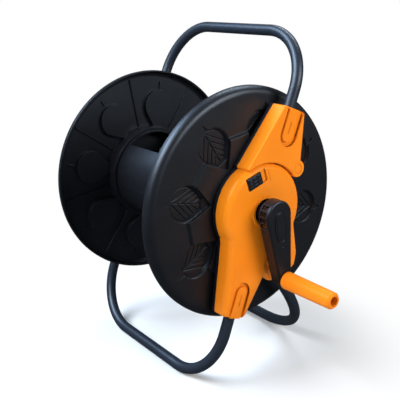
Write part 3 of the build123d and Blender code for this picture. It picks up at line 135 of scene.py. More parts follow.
class Graph:
    """One material's node graph."""

    def __init__(self, name: str) -> None:
        """Starts an empty material.

        Args:
            name: The material's name.
        """
        self.material = bpy.data.materials.new(name)
        self.material.use_nodes = True
        self.tree = self.material.node_tree
        self.tree.nodes.clear()
        coordinates = self.node("ShaderNodeTexCoord")
        self.place = coordinates.outputs["Object"]

    def node(self, kind: str, settings: dict[str, Any] | None = None,
             inputs: dict[Any, Any] | None = None) -> bpy.types.Node:
        """Adds a node, sets its settings first and its sockets after them.

        Args:
            kind: The node's type.
            settings: Attributes of the node.
            inputs: Values or links of its input sockets, by name or number.

        Returns:
            The node.
        """
        made = self.tree.nodes.new(kind)
        for name, value in (settings or {}).items():
            setattr(made, name, value)
        for name, value in (inputs or {}).items():
            socket = value.socket if isinstance(value, Signal) else value
            if isinstance(socket, bpy.types.NodeSocket):
                self.tree.links.new(socket, made.inputs[name])
            else:
                made.inputs[name].default_value = socket
        return made

    def signal(self, node: bpy.types.Node, output: str | int = 0) -> Signal:
        """Wraps one of a node's outputs."""
        return Signal(self, node.outputs[output])

    def maths(self, operation: str, first: Signal | float, second: Signal | float) -> Signal:
        """Adds one Math node."""
        return self.signal(self.node("ShaderNodeMath", {"operation": operation}, {0: first, 1: second}))

    def noise(self, scale: float, detail: float = 2.0, roughness: float = 0.5,
              stretch: tuple[float, float, float] = (1.0, 1.0, 1.0)) -> Signal:
        """Fractal noise on object coordinates, from 0 to 1.

        Args:
            scale: Number of features in a metre.
            detail: Number of octaves.
            roughness: Strength of each octave against the one before.
            stretch: Scale of the coordinates along each axis.

        Returns:
            The noise.
        """
        mapping = self.node("ShaderNodeMapping", None, {"Vector": self.place, "Scale": stretch})
        texture = self.node(
            "ShaderNodeTexNoise", None,
            {"Vector": mapping.outputs[0], "Scale": scale, "Detail": detail, "Roughness": roughness},
        )
        return self.signal(texture, 0)

    def cells(self, scale: float) -> Signal:
        """Distance to the nearest of many scattered points, on object coordinates."""
        texture = self.node("ShaderNodeTexVoronoi", None, {"Vector": self.place, "Scale": scale})
        return self.signal(texture, "Distance")

    def mix(self, factor: Signal | float, first: Any, second: Any) -> bpy.types.NodeSocket:
        """Mixes two colours.

        Args:
            factor: 0 for the first colour, 1 for the second.
            first: A colour or a colour socket.
            second: A colour or a colour socket.

        Returns:
            The mixed colour's socket.
        """
        inputs = {0: factor, 6: opaque(first), 7: opaque(second)}
        return self.node("ShaderNodeMix", {"data_type": "RGBA"}, inputs).outputs[2]

    def soft_edges(self, radius: float) -> tuple[bpy.types.NodeSocket, Signal]:
        """The normal of the surface with its edges rounded, and a mask of those edges.

        Args:
            radius: Radius of the rounding in metres.

        Returns:
            The rounded normal, and a mask that rises from 0 on flat parts to 1 on edges.
        """
        rounded = self.node("ShaderNodeBevel", {"samples": 4}, {"Radius": radius}).outputs[0]
        plain = self.node("ShaderNodeNewGeometry").outputs["Normal"]
        agreement = self.node("ShaderNodeVectorMath", {"operation": "DOT_PRODUCT"}, {0: rounded, 1: plain})
        return rounded, (1.0 - self.signal(agreement, "Value")).step(0.02, 0.25)

    def bump(self, height: Signal, distance: float, normal: bpy.types.NodeSocket | None = None,
             strength: float = 1.0) -> bpy.types.NodeSocket:
        """A bumped normal.

        Args:
            height: The height, from 0 to 1.
            distance: What a height of 1 is in metres.
            normal: A normal to start from.
            strength: Strength of the effect.

        Returns:
            The normal's socket.
        """
        inputs: dict[str, Any] = {"Height": height, "Distance": distance, "Strength": strength}
        if normal is not None:
            inputs["Normal"] = normal
        return self.node("ShaderNodeBump", None, inputs).outputs[0]

    def finish(self, inputs: dict[str, Any]) -> bpy.types.Material:
        """Ends the graph in a Principled shader.

        Args:
            inputs: The shader's socket values or links.

        Returns:
            The material.
        """
        shader = self.node("ShaderNodeBsdfPrincipled", None, inputs)
        self.node("ShaderNodeOutputMaterial", None, {"Surface": shader.outputs[0]})
        return self.material


def opaque(colour: Any) -> Any:
    """Adds an alpha of 1 to a plain colour; a socket passes through."""
    return (*colour, 1.0) if isinstance(colour, tuple) and len(colour) == 3 else colour


Colour = tuple[float, float, float]


@dataclass(frozen=True)
class MouldedPlastic:
    """Injection moulded plastic with a fine spark-eroded grain, soft edges and light handling marks."""

    name: str
    colour: Colour
    shade: Colour
    edge: Colour
    roughness: float
    specular: float
    tint: Colour = WHITE
    grain_scale: float = 1500.0
    grain_height: float = 0.00004
    edge_radius: float = 0.0011
    edge_share: float = 0.35
    dust: Colour = (0.25, 0.24, 0.22)
    dust_share: float = 0.02
    sink_height: float = 0.00012
    sink_strength: float = 0.5
    ior: float = 1.49

    def material(self) -> bpy.types.Material:
        """Builds the material.

        Returns:
            The material: colour drifts slowly over the moulding, edges are rubbed lighter, and fine
            scratches and dust change the roughness.
        """
        graph = Graph(self.name)
        drift = graph.noise(9.0, 3.0).step(0.3, 0.7)
        flow = graph.noise(38.0, 4.0, 0.6, (1.0, 0.35, 1.6))
        speck = graph.noise(260.0, 2.0).step(0.62, 0.78)
        normal, edge = graph.soft_edges(self.edge_radius)
        scuff = graph.noise(420.0, 3.0, 0.7, (0.25, 1.0, 1.0)).step(0.55, 0.8)
        colour = graph.mix(drift * 0.7 + flow * 0.3, self.shade, self.colour)
        colour = graph.mix(edge * self.edge_share * (0.6 + 0.4 * flow), colour, self.edge)
        colour = graph.mix(speck * self.dust_share, colour, self.dust)
        grain = graph.cells(self.grain_scale)
        fine = graph.noise(2.1 * self.grain_scale, 2.0)
        bumped = graph.bump(grain * 0.6 + fine * 0.4, self.grain_height, normal)
        sink = graph.bump(flow, self.sink_height, bumped, self.sink_strength)
        roughness = self.roughness + 0.09 * (flow - 0.5) + 0.08 * scuff - 0.07 * edge
        return graph.finish({
            "Base Color": colour, "Roughness": roughness, "Normal": sink,
            "Specular IOR Level": self.specular, "Specular Tint": opaque(self.tint), "IOR": self.ior,
        })


@dataclass(frozen=True)
class PowderCoat:
    """Powder coated steel tube: a thin clear skin with orange peel over a pigmented coat."""

    name: str
    colour: Colour
    shade: Colour
    worn: Colour
    peel_scale: float = 420.0
    peel_height: float = 0.00004
    edge_radius: float = 0.0006
    roughness: float = 0.34
    specular: float = 0.46
    tint: Colour = (0.74, 0.86, 1.0)

    def material(self) -> bpy.types.Material:
        """Builds the material.

        Returns:
            The material: orange-peel bump, chips that show a paler coat.
        """
        graph = Graph(self.name)
        drift = graph.noise(14.0, 3.0).step(0.3, 0.7)
        peel = graph.noise(self.peel_scale, 2.0, 0.45)
        pigment = graph.noise(2600.0, 1.0)
        chip = graph.noise(95.0, 5.0, 0.75).step(0.71, 0.735)
        colour = graph.mix(drift * 0.6 + pigment * 0.4, self.shade, self.colour)
        colour = graph.mix(chip * 0.5, colour, self.worn)
        rounded, edge = graph.soft_edges(self.edge_radius)
        colour = graph.mix(edge * 0.4, colour, self.worn)
        normal = graph.bump(peel * 0.7 + pigment * 0.3 - chip * 0.25, self.peel_height, rounded)
        return graph.finish({
            "Base Color": colour, "Roughness": self.roughness + 0.06 * peel + 0.05 * drift, "Normal": normal,
            "Specular IOR Level": self.specular, "Specular Tint": opaque(self.tint),
        })


@dataclass(frozen=True)
class ZincSteel:
    """Zinc plated steel: bright, a little cloudy, with turning marks."""

    name: str
    colour: Colour
    tarnish: Colour
    roughness: float = 0.24
    line_height: float = 0.00002
    edge_radius: float = 0.0003

    def material(self) -> bpy.types.Material:
        """Builds the material.

        Returns:
            The material: cloudy passivation, fine turning lines round the axle's direction.
        """
        graph = Graph(self.name)
        cloud = graph.noise(220.0, 4.0, 0.6).step(0.35, 0.75)
        lines = graph.noise(1200.0, 2.0, 0.6, (3.0, 0.2, 0.2))
        rounded, edge = graph.soft_edges(self.edge_radius)
        colour = graph.mix(cloud * 0.6 - edge * 0.3, self.colour, self.tarnish)
        return graph.finish({
            "Base Color": colour, "Metallic": 1.0, "Roughness": self.roughness + 0.2 * cloud + 0.08 * lines,
            "Normal": graph.bump(lines, self.line_height, rounded),
        })


@dataclass(frozen=True)
class SealRubber:
    """Black seal rubber with a faint bloom."""

    name: str
    colour: Colour
    bloom: Colour
    roughness: float = 0.6
    specular: float = 0.4
    skin_height: float = 0.00003

    def material(self) -> bpy.types.Material:
        """Builds the material.

        Returns:
            The material: matt, with a patchy grey bloom and a fine skin texture.
        """
        graph = Graph(self.name)
        patch = graph.noise(160.0, 4.0, 0.65).step(0.45, 0.8)
        skin = graph.noise(2400.0, 2.0)
        return graph.finish({
            "Base Color": graph.mix(patch * 0.35, self.colour, self.bloom),
            "Roughness": self.roughness + 0.2 * patch, "Normal": graph.bump(skin, self.skin_height),
            "Specular IOR Level": self.specular,
        })


@dataclass(frozen=True)
class StudioPaper:
    """The white sweep that the reel stands on: paper under it, evenly lit white further out."""

    name: str
    colour: Colour
    fibre: Colour = (0.5, 0.5, 0.5)
    roughness: float = 0.9
    glow: float = 0.05
    near: float = 0.15
    far: float = 0.37

    def material(self) -> bpy.types.Material:
        """Builds the matt paper with a very faint tooth, blended outwards into plain white light.

        Returns:
            The material.
        """
        graph = Graph(self.name)
        tooth = graph.noise(300.0, 3.0)
        paper = graph.node("ShaderNodeBsdfPrincipled", None, {
            "Base Color": graph.mix(tooth * 0.04, self.colour, self.fibre),
            "Roughness": self.roughness + 0.05 * tooth, "Specular IOR Level": 0.0,
            "Emission Color": opaque(WHITE), "Emission Strength": self.glow,
        })
        white = graph.node("ShaderNodeEmission", None, {"Color": opaque(WHITE), "Strength": 1.0})
        length = graph.node("ShaderNodeVectorMath", {"operation": "LENGTH"}, {0: graph.place})
        seen = graph.signal(graph.node("ShaderNodeLightPath"), "Is Camera Ray")
        blend = graph.signal(length, "Value").step(self.near, self.far) * seen
        mixed = graph.node("ShaderNodeMixShader", None, {0: blend, 1: paper.outputs[0], 2: white.outputs[0]})
        graph.node("ShaderNodeOutputMaterial", None, {"Surface": mixed.outputs[0]})
        return graph.material


ORANGE = MouldedPlastic(
    "orange_moulding", colour=(0.80, 0.222, 0.0075), shade=(0.74, 0.185, 0.006), edge=(0.90, 0.34, 0.03),
    roughness=0.40, specular=0.24, tint=(1.0, 0.86, 0.45),
)
BLACK = MouldedPlastic(
    "black_moulding", colour=(0.0058, 0.0061, 0.0080), shade=(0.0045, 0.0047, 0.0063),
    edge=(0.024, 0.027, 0.036), roughness=0.40, specular=0.5, tint=(0.70, 0.83, 1.0), edge_share=0.5,
)
GREY = MouldedPlastic(
    "grey_acetal", colour=(0.10, 0.105, 0.11), shade=(0.075, 0.08, 0.085), edge=(0.2, 0.2, 0.21),
    roughness=0.38, specular=0.4,
)
TUBE = PowderCoat(
    "slate_powder_coat", colour=(0.0125, 0.0172, 0.0270), shade=(0.0095, 0.0132, 0.0210),
    worn=(0.04, 0.05, 0.065),
)
ZINC = ZincSteel("zinc_plate", (0.66, 0.67, 0.68), (0.42, 0.43, 0.44))
RUBBER = SealRubber("seal_rubber", (0.014, 0.014, 0.015), (0.07, 0.07, 0.075))
PAPER = StudioPaper("studio_paper", (0.60, 0.60, 0.60))


class Paints:
    """Makes each finish's material once and hands it out."""

    def __init__(self) -> None:
        """Starts with no materials made."""
        self.made: dict[str, bpy.types.Material] = {}

    def get(self, finish: Any) -> bpy.types.Material:
        """The material of a finish, made at its first use."""
        if finish.name not in self.made:
            self.made[finish.name] = finish.material()
        return self.made[finish.name]

    def dress(self, thing: bpy.types.Object, finish: Any) -> None:
        """Puts a finish in every material slot of an object.

        Args:
            thing: The object.
            finish: One of the finishes above.
        """
        if not thing.material_slots:
            thing.data.materials.append(self.get(finish))
        for place in thing.material_slots:
            place.material = self.get(finish)


# ---- surfaces ------------------------------------------------------------------------------------
def closed_mesh(name: str, rows: np.ndarray,
                poles: tuple[np.ndarray, np.ndarray] | None = None) -> bpy.types.Mesh:
    """A closed mesh from rings of points. Columns always wrap; rows wrap too unless poles close the ends.

    The faces are quads between neighbouring rings, and triangle fans to the two poles. If the volume
    that they enclose, the sum of each face's signed tetrahedra to the origin, is negative, all are turned.

    Args:
        name: The mesh's name.
        rows: Points as an array of (rings, points in a ring, 3).
        poles: The point before the first ring and the point after the last one.

    Returns:
        The mesh, smooth with sharp corners kept sharp.
    """
    count, around = rows.shape[:2]
    index = np.arange(count * around).reshape(count, around)
    lower = index if poles is None else index[:-1]
    upper = np.roll(index, -1, 0) if poles is None else index[1:]
    quads = np.stack([lower, np.roll(lower, -1, 1), np.roll(upper, -1, 1), upper], -1).reshape(-1, 4)
    points = rows.reshape(-1, 3)
    fans = np.zeros((0, 3), int)
    if poles is not None:
        points = np.concatenate([points, np.array(poles)])
        first, last = index[0], index[-1]
        start, end = np.full(around, count * around), np.full(around, count * around + 1)
        fans = np.concatenate([np.stack([start, np.roll(first, -1), first], -1),
                               np.stack([end, last, np.roll(last, -1)], -1)])
    corners = np.concatenate([quads[:, :3], quads[:, [0, 2, 3]], fans])
    a, b, c = (points[corners[:, k]] for k in range(3))
    if np.einsum("ij,ij->", a, np.cross(b, c)) < 0:
        quads, fans = quads[:, ::-1], fans[:, ::-1]
    mesh = bpy.data.meshes.new(name)
    mesh.vertices.add(len(points))
    mesh.vertices.foreach_set("co", points.ravel().astype(np.float32))
    mesh.loops.add(quads.size + fans.size)
    mesh.loops.foreach_set("vertex_index", np.concatenate([quads.ravel(), fans.ravel()]).astype(np.int32))
    mesh.polygons.add(len(quads) + len(fans))
    starts = np.concatenate([4 * np.arange(len(quads)), quads.size + 3 * np.arange(len(fans))])
    mesh.polygons.foreach_set("loop_start", starts.astype(np.int32))
    mesh.update(calc_edges=True)
    mesh.shade_smooth()
    mesh.set_sharp_from_angle(angle=math.radians(SHARP_ANGLE))
    return mesh


def new_piece(mesh: bpy.types.Mesh, body: str) -> bpy.types.Object:
    """Links a mesh as a piece that rides on a body."""
    thing = bpy.data.objects.new(mesh.name, mesh)
    bpy.context.scene.collection.objects.link(thing)
    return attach(thing, body)


def rounded_corner(before: np.ndarray, corner: np.ndarray, after: np.ndarray, radius: float,
                   steps: int = 8) -> np.ndarray:
    """Points of the arc that rounds a corner of a flat outline.

    The arc starts at a distance of radius times the tangent of half the turn from the corner, and its
    points are the corner's blend (1 - t)^2, 2t(1 - t), t^2 of start, corner and end, which is round
    enough for small radii.

    Args:
        before: The outline's point before the corner.
        corner: The corner.
        after: The outline's point after the corner.
        radius: The arc's radius.
        steps: Number of points.

    Returns:
        The points as (steps, 2).
    """
    back = (before - corner) / np.linalg.norm(before - corner)
    ahead = (after - corner) / np.linalg.norm(after - corner)
    opening = math.acos(float(np.clip(back @ ahead, -1, 1)))
    reach = radius / math.tan(opening / 2)
    t = np.linspace(0, 1, steps)[:, None]
    start, end = corner + back * reach, corner + ahead * reach
    return (1 - t) ** 2 * start + 2 * t * (1 - t) * corner + t**2 * end


def turned_rings(outline: np.ndarray, centre: np.ndarray, around: int = 96) -> np.ndarray:
    """Rings of a shape turned about an axis parallel to X.

    Each outline point (x, r) becomes the ring (x, y0 + r cos a, z0 + r sin a) for a from 0 to a full turn.

    Args:
        outline: The closed outline as (points, 2), x and radius in metres.
        centre: (y0, z0) of the axis.
        around: Number of points in a ring.

    Returns:
        The rings as (points, around, 3).
    """
    angle = np.linspace(0, 2 * np.pi, around, endpoint=False)
    x, r = outline[:, :1], outline[:, 1:]
    return np.stack([np.broadcast_to(x, (len(outline), around)),
                     centre[0] + r * np.cos(angle), centre[1] + r * np.sin(angle)], -1)


# ---- sub-assemblies ------------------------------------------------------------------------------
@dataclass
class Workshop:
    """What every sub-assembly needs: the frame, its nodes, the materials and the axle's place."""

    nodes: dict[str, bpy.types.Object]
    paints: Paints
    axle: np.ndarray

    def dress(self, finish: Any, *names: str) -> None:
        """Puts a finish on CAD nodes and reports each one.

        Args:
            finish: The finish.
            names: Names of nodes.
        """
        for name in names:
            self.paints.dress(self.nodes[name], finish)
            LOG.info("%s: %s", name, finish.name)

    def stand_in(self, mesh: bpy.types.Mesh, body: str, node: str, finish: Any) -> None:
        """Puts a finer mesh in the place of a CAD node.

        Args:
            mesh: The finer mesh.
            body: The body it rides on.
            node: The node it stands for.
            finish: The finish.
        """
        thing = new_piece(mesh, body)
        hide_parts(node)
        self.paints.dress(thing, finish)
        LOG.info("%s stands for %s: %s", mesh.name, node, finish.name)


class Side(Enum):
    """The two ends of the axle: the sign of X and the start of the nodes' names."""

    CRANK = (1.0, "crank_side")
    INLET = (-1.0, "inlet_side")

    @property
    def sign(self) -> float:
        """The sign of X on this side."""
        return self.value[0]

    def node(self, name: str) -> str:
        """The full name of this side's node."""
        return f"{self.value[1]}_{name}"


@dataclass
class TubeLoop:
    """One bent tube: two straight legs down the brackets and a run across, joined by two bends."""

    node: str
    run_is_high: bool
    run_is_rear: bool
    bend: float
    leg_start: tuple[float, float]
    socket: float
    radius: float = 8.0 * MM
    wall: float = 1.4 * MM
    around: int = 72
    leg_points: int = 24
    bend_points: int = 48
    run_points: int = 24

    def centre_line(self, axle: np.ndarray) -> tuple[np.ndarray, np.ndarray]:
        """The tube's centre line and its tangents.

        In the loop's own flat plane, u runs across and v runs along the legs. The line is: v up the
        first leg, a quarter arc (u0 + R cos a, v0 + R sin a), the run across, another quarter arc,
        and v down the second leg.

        Args:
            axle: The axle's centre.

        Returns:
            Points and unit tangents, each as (points, 3), and the first end is on the +X side.
        """
        low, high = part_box(self.node)
        half = (high.x - low.x) / 2 - self.radius
        middle = (high.x + low.x) / 2
        run_y = (high.y if self.run_is_rear else low.y) + (-self.radius if self.run_is_rear else self.radius)
        run_z = (high.z if self.run_is_high else low.z) + (-self.radius if self.run_is_high else self.radius)
        start = axle[1:] + np.array(self.leg_start)
        leg = np.array([run_y, run_z]) - start
        reach = float(np.linalg.norm(leg))
        leg = leg / reach
        quarter = np.linspace(0, np.pi / 2, self.bend_points)
        flat, bend = half - self.bend, self.bend
        up = np.linspace(self.socket, reach - bend, self.leg_points, endpoint=False)
        across = np.linspace(flat, -flat, self.run_points + 2)[1:-1]
        u = np.concatenate([np.full(len(up), half), flat + bend * np.cos(quarter), across,
                            -flat - bend * np.sin(quarter), np.full(len(up), -half)])
        v = np.concatenate([up, reach - bend + bend * np.sin(quarter), np.full(len(across), reach),
                            reach - bend + bend * np.cos(quarter), up[::-1]])
        points = np.stack([middle + u, start[0] + v * leg[0], start[1] + v * leg[1]], -1)
        tangents = np.gradient(points, axis=0)
        return points, tangents / np.linalg.norm(tangents, axis=1, keepdims=True)

    def build(self, shop: Workshop) -> None:
        """Sweeps the wall's outer and inner circles along the centre line and closes them at both ends.

        A ring at a point p with tangent t and the plane's normal n is p + r (cos a n + sin a t x n). The
        outer rings run forward and the inner rings back, so the rows close into one wall.

        Args:
            shop: The workshop.
        """
        points, tangents = self.centre_line(shop.axle)
        flat_normal = np.cross(points[0] - points[len(points) // 2], points[-1] - points[0])
        flat_normal = flat_normal / np.linalg.norm(flat_normal)
        side = np.cross(tangents, flat_normal)
        angle = np.linspace(0, 2 * np.pi, self.around, endpoint=False)[None, :, None]
        circle = np.cos(angle) * flat_normal + np.sin(angle) * side[:, None, :]
        outer = points[:, None, :] + self.radius * circle
        inner = points[::-1, None, :] + (self.radius - self.wall) * circle[::-1]
        mesh = closed_mesh(f"{self.node}_swept", np.concatenate([outer, inner]))
        shop.stand_in(mesh, "frame", self.node, TUBE)


@dataclass
class LeafRelief:
    """The leaf in each pocket of a flange: a thin blade on the pocket's floor, with fine engraved veins."""

    side: Side
    count: int = 8
    phase: float = -11.0
    centre: float = 109.0 * MM
    mouth_radius: float = 25.5 * MM
    mouth_tip: float = 68.5 * MM
    mouth_collar: float = 79.0 * MM
    depth: float = 7.0 * MM
    draft: float = 35.0
    floor: float = 123.0 * MM
    gap: float = 0.05 * MM
    sink: float = 0.2 * MM
    thickness: float = 1.9 * MM
    vein_depth: float = 1.6 * MM
    vein_width: float = 0.40 * MM
    vein_angle: float = 36.0
    vein_places: tuple[float, ...] = (130.5 * MM, 119.0 * MM, 107.5 * MM, 96.0 * MM)
    rings: int = 72
    around: int = 256

    def edge(self, angle: np.ndarray, height: float = 0.0) -> np.ndarray:
        """Distance from the leaf's centre to the pocket's wall, at a height over the floor.

        The wall slants in by its depth times the tangent of its draft, so the outline there is the
        mouth's moved in by that. Seen from the centre, the outline is the circle R up to the
        angle where the tangent to the tip starts; beyond it, it is R / cos(the angle past that point),
        and it stops at the collar's circle C, which a ray reaches at
        -d cos a - sqrt(C^2 - d^2 sin^2 a), with d the centre's distance from the axle.

        Args:
            angle: Angles about the leaf's centre, 0 pointing away from the axle.
            height: Height over the pocket's floor.

        Returns:
            The distances.
        """
        inset = (self.depth - height) * math.tan(math.radians(self.draft)) + self.gap
        wedge = math.asin(self.mouth_radius / (self.centre - self.mouth_tip))
        radius = self.mouth_radius - inset
        tip = self.mouth_tip + inset / math.sin(wedge)
        collar = self.mouth_collar + inset
        turn = np.abs((angle + np.pi) % (2 * np.pi) - np.pi)
        tangent = np.pi - math.acos(radius / (self.centre - tip))
        reach = np.where(turn <= tangent, radius, radius / np.cos(np.maximum(turn - tangent, 0)))
        inside = collar**2 - (self.centre * np.sin(turn)) ** 2
        near = -self.centre * np.cos(turn) - np.sqrt(np.maximum(inside, 0))
        near = np.where((inside > 0) & (turn > np.pi / 2), near, 1.0)
        return np.minimum(reach, near)

    def relief(self, along: np.ndarray, across: np.ndarray) -> np.ndarray:
        """Height of the leaf's face over its floor.

        The blade is flat and each vein is a fine groove: thickness minus depth times
        exp(-(d / width)^2), where d is the distance to the midrib or to a side vein. A side vein leaves
        the midrib at its place and runs outwards and towards the tip.

        Args:
            along: Distance from the axle, along the midrib.
            across: Distance from the midrib.

        Returns:
            The heights.
        """
        slope = math.radians(self.vein_angle)
        side = np.abs(across)
        groove = np.exp(-((side / (1.3 * self.vein_width)) ** 2))
        for place in self.vein_places:
            off = (place - along) * math.sin(slope) - side * math.cos(slope)
            groove = np.maximum(groove, np.exp(-((off / self.vein_width) ** 2)))
        return self.thickness - self.vein_depth * groove

    def build(self, shop: Workshop) -> None:
        """Builds the leaves of one flange as closed pieces.

        A leaf is a polar grid: rings at a share t of the wall's distance at the blade's height carry the
        relief, the last ring drops to the floor, and both centres are closed. The leaf is then turned to
        its place.

        Args:
            shop: The workshop.
        """
        angle = np.linspace(0, 2 * np.pi, self.around, endpoint=False)
        share = np.linspace(0, 1, self.rings + 1)[1:, None]
        reach = self.edge(angle, self.thickness)
        along = self.centre + share * reach * np.cos(angle)
        across = share * reach * np.sin(angle)
        height = self.relief(along, across)
        foot = self.edge(angle)
        along = np.concatenate([along, [self.centre + foot * np.cos(angle)]])
        across = np.concatenate([across, [foot * np.sin(angle)]])
        height = np.concatenate([height, np.full((1, self.around), -self.sink)])
        top = self.relief(np.array([self.centre]), np.array([0.0]))[0]
        for number in range(self.count):
            turn = math.radians(self.phase + number * 360 / self.count)
            spin = np.array([[math.cos(turn), -math.sin(turn)], [math.sin(turn), math.cos(turn)]])
            flat = np.einsum("ij,jkl->kli", spin, np.stack([along, across]))
            depth = self.side.sign * (self.floor + height)
            rows = shop.axle + np.concatenate([depth[..., None], flat], -1)
            middle = spin @ np.array([self.centre, 0.0])
            poles = [shop.axle + np.array([self.side.sign * (self.floor + level), *middle])
                     for level in (top, -self.sink)]
            name = self.side.node(f"leaf_{number + 1}")
            thing = new_piece(closed_mesh(name, rows, (poles[0], poles[1])), "reel")
            shop.paints.dress(thing, BLACK)
            LOG.info("%s: %s", name, BLACK.name)


@dataclass
class Bracket:
    """One side bracket: base plate, two covers, cap, bearing and screws."""

    side: Side

    def build(self, shop: Workshop) -> None:
        """Dresses the bracket's nodes.

        Args:
            shop: The workshop.
        """
        shop.dress(ORANGE, *(self.side.node(n) for n in ("upper_cover", "lower_cover", "screw_cap")))
        shop.dress(BLACK, self.side.node("base_plate"))
        shop.dress(GREY, self.side.node("bush"))
        shop.dress(ZINC, *(self.side.node(n) for n in ("cover_screws", "tube_screws", "cap_screw")))


@dataclass
class Reel:
    """The turning reel: two flanges with leaf pockets, the drum's shells and its screws."""

    sides: tuple[Side, ...] = (Side.CRANK, Side.INLET)

    def build(self, shop: Workshop) -> None:
        """Dresses the reel's nodes and lays a leaf in each pocket.

        Args:
            shop: The workshop.
        """
        shop.dress(BLACK, "drum_upper_shell", "drum_lower_shell")
        for side in self.sides:
            shop.dress(BLACK, side.node("flange"))
            shop.dress(ZINC, side.node("drum_screws"))
            LeafRelief(side).build(shop)


@dataclass
class Crank:
    """The crank, its cap and screw, and the turning grip on its pin."""

    bore: float = 4.05 * MM
    root_radius: float = 12.5 * MM
    end_radius: float = 11.5 * MM
    bevel: float = 3.0 * MM
    lip: float = 2.4 * MM
    recess: float = 6.6 * MM
    recess_depth: float = 14.0 * MM
    corner_radii: tuple[float, ...] = (0.3 * MM, 1.0 * MM, 4.0 * MM, 0.8 * MM, 0.7 * MM, 0.5 * MM, 0.3 * MM)
    around: int = 128
    smooth_steps: int = 12

    def grip_outline(self, start: float, end: float) -> np.ndarray:
        """The grip's closed outline from bore to barrel and back through the recess.

        The barrel is the straight line from the root's radius to the end's, and its corners are arcs.

        Args:
            start: X of the end at the crank.
            end: X of the free end.

        Returns:
            The outline as (points, 2), x and radius.
        """
        corners = np.array([
            [start, self.bore], [start, self.root_radius], [end - self.bevel, self.end_radius],
            [end, self.end_radius - self.lip], [end, self.recess], [end - self.recess_depth, self.recess],
            [end - self.recess_depth, self.bore],
        ])
        radii = self.corner_radii
        count = len(corners)
        return np.concatenate([
            rounded_corner(corners[k - 1], corners[k], corners[(k + 1) % count], radii[k], self.smooth_steps)
            for k in range(count)
        ])

    def build(self, shop: Workshop) -> None:
        """Builds the grip and dresses the rest.

        Args:
            shop: The workshop.
        """
        low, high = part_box("grip")
        centre = np.array([(low.y + high.y) / 2, (low.z + high.z) / 2])
        rows = turned_rings(self.grip_outline(low.x, high.x), centre, self.around)
        shop.stand_in(closed_mesh("grip_turned", rows), "grip", "grip", ORANGE)
        shop.dress(BLACK, "crank_arm", "crank_cap")
        shop.dress(ZINC, "crank_screw", "grip_pin")


@dataclass
class ReelLock:
    """The slider on the hub's cover and the bolt that it works."""

    def build(self, shop: Workshop) -> None:
        """Dresses the lock's nodes."""
        shop.dress(BLACK, "lock_slider", "lock_slider_clip")
        shop.dress(GREY, "lock_bolt")


@dataclass
class WaterWay:
    """The inlet, the turning water shaft and the outlet inside the drum."""

    def build(self, shop: Workshop) -> None:
        """Dresses the water way's nodes.

        Args:
            shop: The workshop.
        """
        shop.dress(GREY, "water_shaft", "outlet_elbow")
        shop.dress(BLACK, "inlet_body", "inlet_nut", "inlet_nipple", "outlet_nipple")
        shop.dress(ZINC, "shaft_nut", "inlet_body_screws")
        shop.dress(RUBBER, "shaft_o_rings")


@dataclass(frozen=True)
class SoftBox:
    """An area light that points at the axle."""

    name: str
    azimuth: float
    elevation: float
    distance: float
    size: tuple[float, float]
    power: float
    colour: Colour = WHITE

    def build(self, target: Vector) -> None:
        """Adds the light.

        Args:
            target: The point that the light faces.
        """
        lamp = bpy.data.lights.new(self.name, "AREA")
        lamp.shape = "RECTANGLE"
        lamp.size, lamp.size_y = self.size
        lamp.energy = self.power
        lamp.color = self.colour
        turn = Matrix.Rotation(math.radians(self.azimuth), 4, "Z") @ Matrix.Rotation(
            math.radians(90 - self.elevation), 4, "X")
        thing = bpy.data.objects.new(self.name, lamp)
        thing.matrix_world = Matrix.Translation(target + turn.to_3x3() @ Vector((0, 0, self.distance))) @ turn
        bpy.context.scene.collection.objects.link(thing)


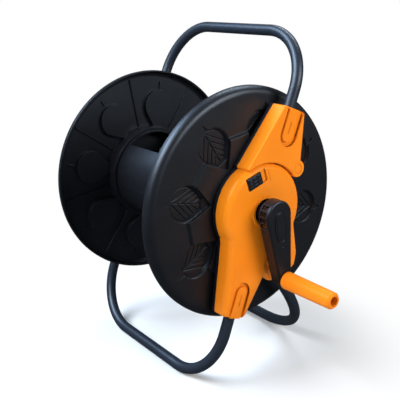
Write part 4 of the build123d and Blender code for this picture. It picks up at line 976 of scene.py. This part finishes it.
@dataclass
class Studio:
    """A pale floor, soft lights and the camera."""

    camera_offset: tuple[float, float, float] = (0.8023, -0.5930, 0.2740)
    camera_azimuth: float = 52.85
    camera_elevation: float = 16.58
    camera_roll: float = 0.155
    focal_length: float = 60.67
    floor_radius: float = 2.4
    floor_depth: float = 0.02
    floor_rings: int = 24
    floor_around: int = 96
    sky: float = 0.07
    sky_colour: Colour = (0.93, 0.96, 1.0)
    sensor: float = 36.0
    lights: tuple[SoftBox, ...] = (
        SoftBox("side_key", -6.0, 42.0, 2.0, (1.5, 1.0), 49.0),
        SoftBox("front_soft", 110.0, 25.0, 2.4, (1.5, 1.0), 50.0, (1.0, 0.98, 0.95)),
        SoftBox("left_strip", -34.0, 48.0, 1.9, (1.6, 1.0), 60.0, (0.60, 0.78, 1.0)),
        SoftBox("rear_top_strip", 205.0, 58.0, 2.2, (1.6, 0.5), 28.0, (0.80, 0.90, 1.0)),
    )

    def build(self, shop: Workshop) -> None:
        """Builds floor, sky, lights and camera.

        Args:
            shop: The workshop.
        """
        target = Vector(shop.axle)
        self.build_floor(shop)
        self.build_sky()
        for light in self.lights:
            light.build(target)
        self.build_camera(target)
        bpy.context.scene.view_settings.view_transform = "Standard"
        LOG.info("studio: floor, %d lights, camera", len(self.lights))

    def build_floor(self, shop: Workshop) -> None:
        """Builds the floor, a thin round slab: rings whose radii grow with the square of their number.

        Args:
            shop: The workshop.
        """
        angle = np.linspace(0, 2 * np.pi, self.floor_around, endpoint=False)
        radius = self.floor_radius * np.linspace(0, 1, self.floor_rings + 1)[1:, None] ** 2
        level = np.zeros((self.floor_rings, self.floor_around))
        rows = np.stack([radius * np.cos(angle), radius * np.sin(angle), level], -1)
        drop = np.array([0.0, 0.0, -self.floor_depth])
        rim = rows[-1:] + drop
        poles = (np.zeros(3), drop)
        floor = bpy.data.objects.new("floor", closed_mesh("floor", np.concatenate([rows, rim]), poles))
        bpy.context.scene.collection.objects.link(floor)
        floor.visible_glossy = False
        shop.paints.dress(floor, PAPER)

    def build_sky(self) -> None:
        """An even sky: white behind the object, dimmer as a light."""
        world = bpy.data.worlds.new("sky")
        bpy.context.scene.world = world
        world.use_nodes = True
        tree = world.node_tree
        tree.nodes.clear()
        behind = tree.nodes.new("ShaderNodeBackground")
        behind.inputs["Color"].default_value = opaque(WHITE)
        light = tree.nodes.new("ShaderNodeBackground")
        light.inputs["Color"].default_value = opaque(self.sky_colour)
        light.inputs["Strength"].default_value = self.sky
        path = tree.nodes.new("ShaderNodeLightPath")
        mix = tree.nodes.new("ShaderNodeMixShader")
        output = tree.nodes.new("ShaderNodeOutputWorld")
        tree.links.new(path.outputs["Is Camera Ray"], mix.inputs[0])
        tree.links.new(light.outputs[0], mix.inputs[1])
        tree.links.new(behind.outputs[0], mix.inputs[2])
        tree.links.new(mix.outputs[0], output.inputs["Surface"])

    def build_camera(self, target: Vector) -> None:
        """The camera, placed from the axle.

        Args:
            target: The axle's centre.
        """
        data = bpy.data.cameras.new("camera")
        data.lens = self.focal_length
        data.sensor_width = self.sensor
        data.clip_end = 50.0
        turn = (Matrix.Rotation(math.radians(self.camera_azimuth), 4, "Z")
                @ Matrix.Rotation(math.radians(90 - self.camera_elevation), 4, "X")
                @ Matrix.Rotation(math.radians(self.camera_roll), 4, "Z"))
        camera = bpy.data.objects.new("camera", data)
        camera.matrix_world = Matrix.Translation(target + Vector(self.camera_offset)) @ turn
        bpy.context.scene.collection.objects.link(camera)
        bpy.context.scene.camera = camera


def main() -> None:
    """Loads the frame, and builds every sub-assembly and the studio."""
    logging.basicConfig(level=logging.INFO, format="%(message)s")
    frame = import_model()
    spin = next(joint for joint in frame["joints"] if joint["name"] == "reel_spin")
    shop = Workshop(frame["nodes"], Paints(), np.array(spin["pos_m"]))
    tubes = (
        TubeLoop("handle_tube", run_is_high=True, run_is_rear=True, bend=80 * MM,
                 leg_start=(0.0, 0.0), socket=54 * MM),
        TubeLoop("front_foot_tube", run_is_high=False, run_is_rear=False, bend=80 * MM,
                 leg_start=(0.0, 0.0), socket=60 * MM),
        TubeLoop("rear_foot_tube", run_is_high=False, run_is_rear=True, bend=130 * MM,
                 leg_start=(0.0, -49.6 * MM), socket=14 * MM),
    )
    for part in (*tubes, Bracket(Side.CRANK), Bracket(Side.INLET), Reel(), Crank(), ReelLock(), WaterWay(),
                 Studio()):
        part.build(shop)


if __name__ == "__main__":
    main()
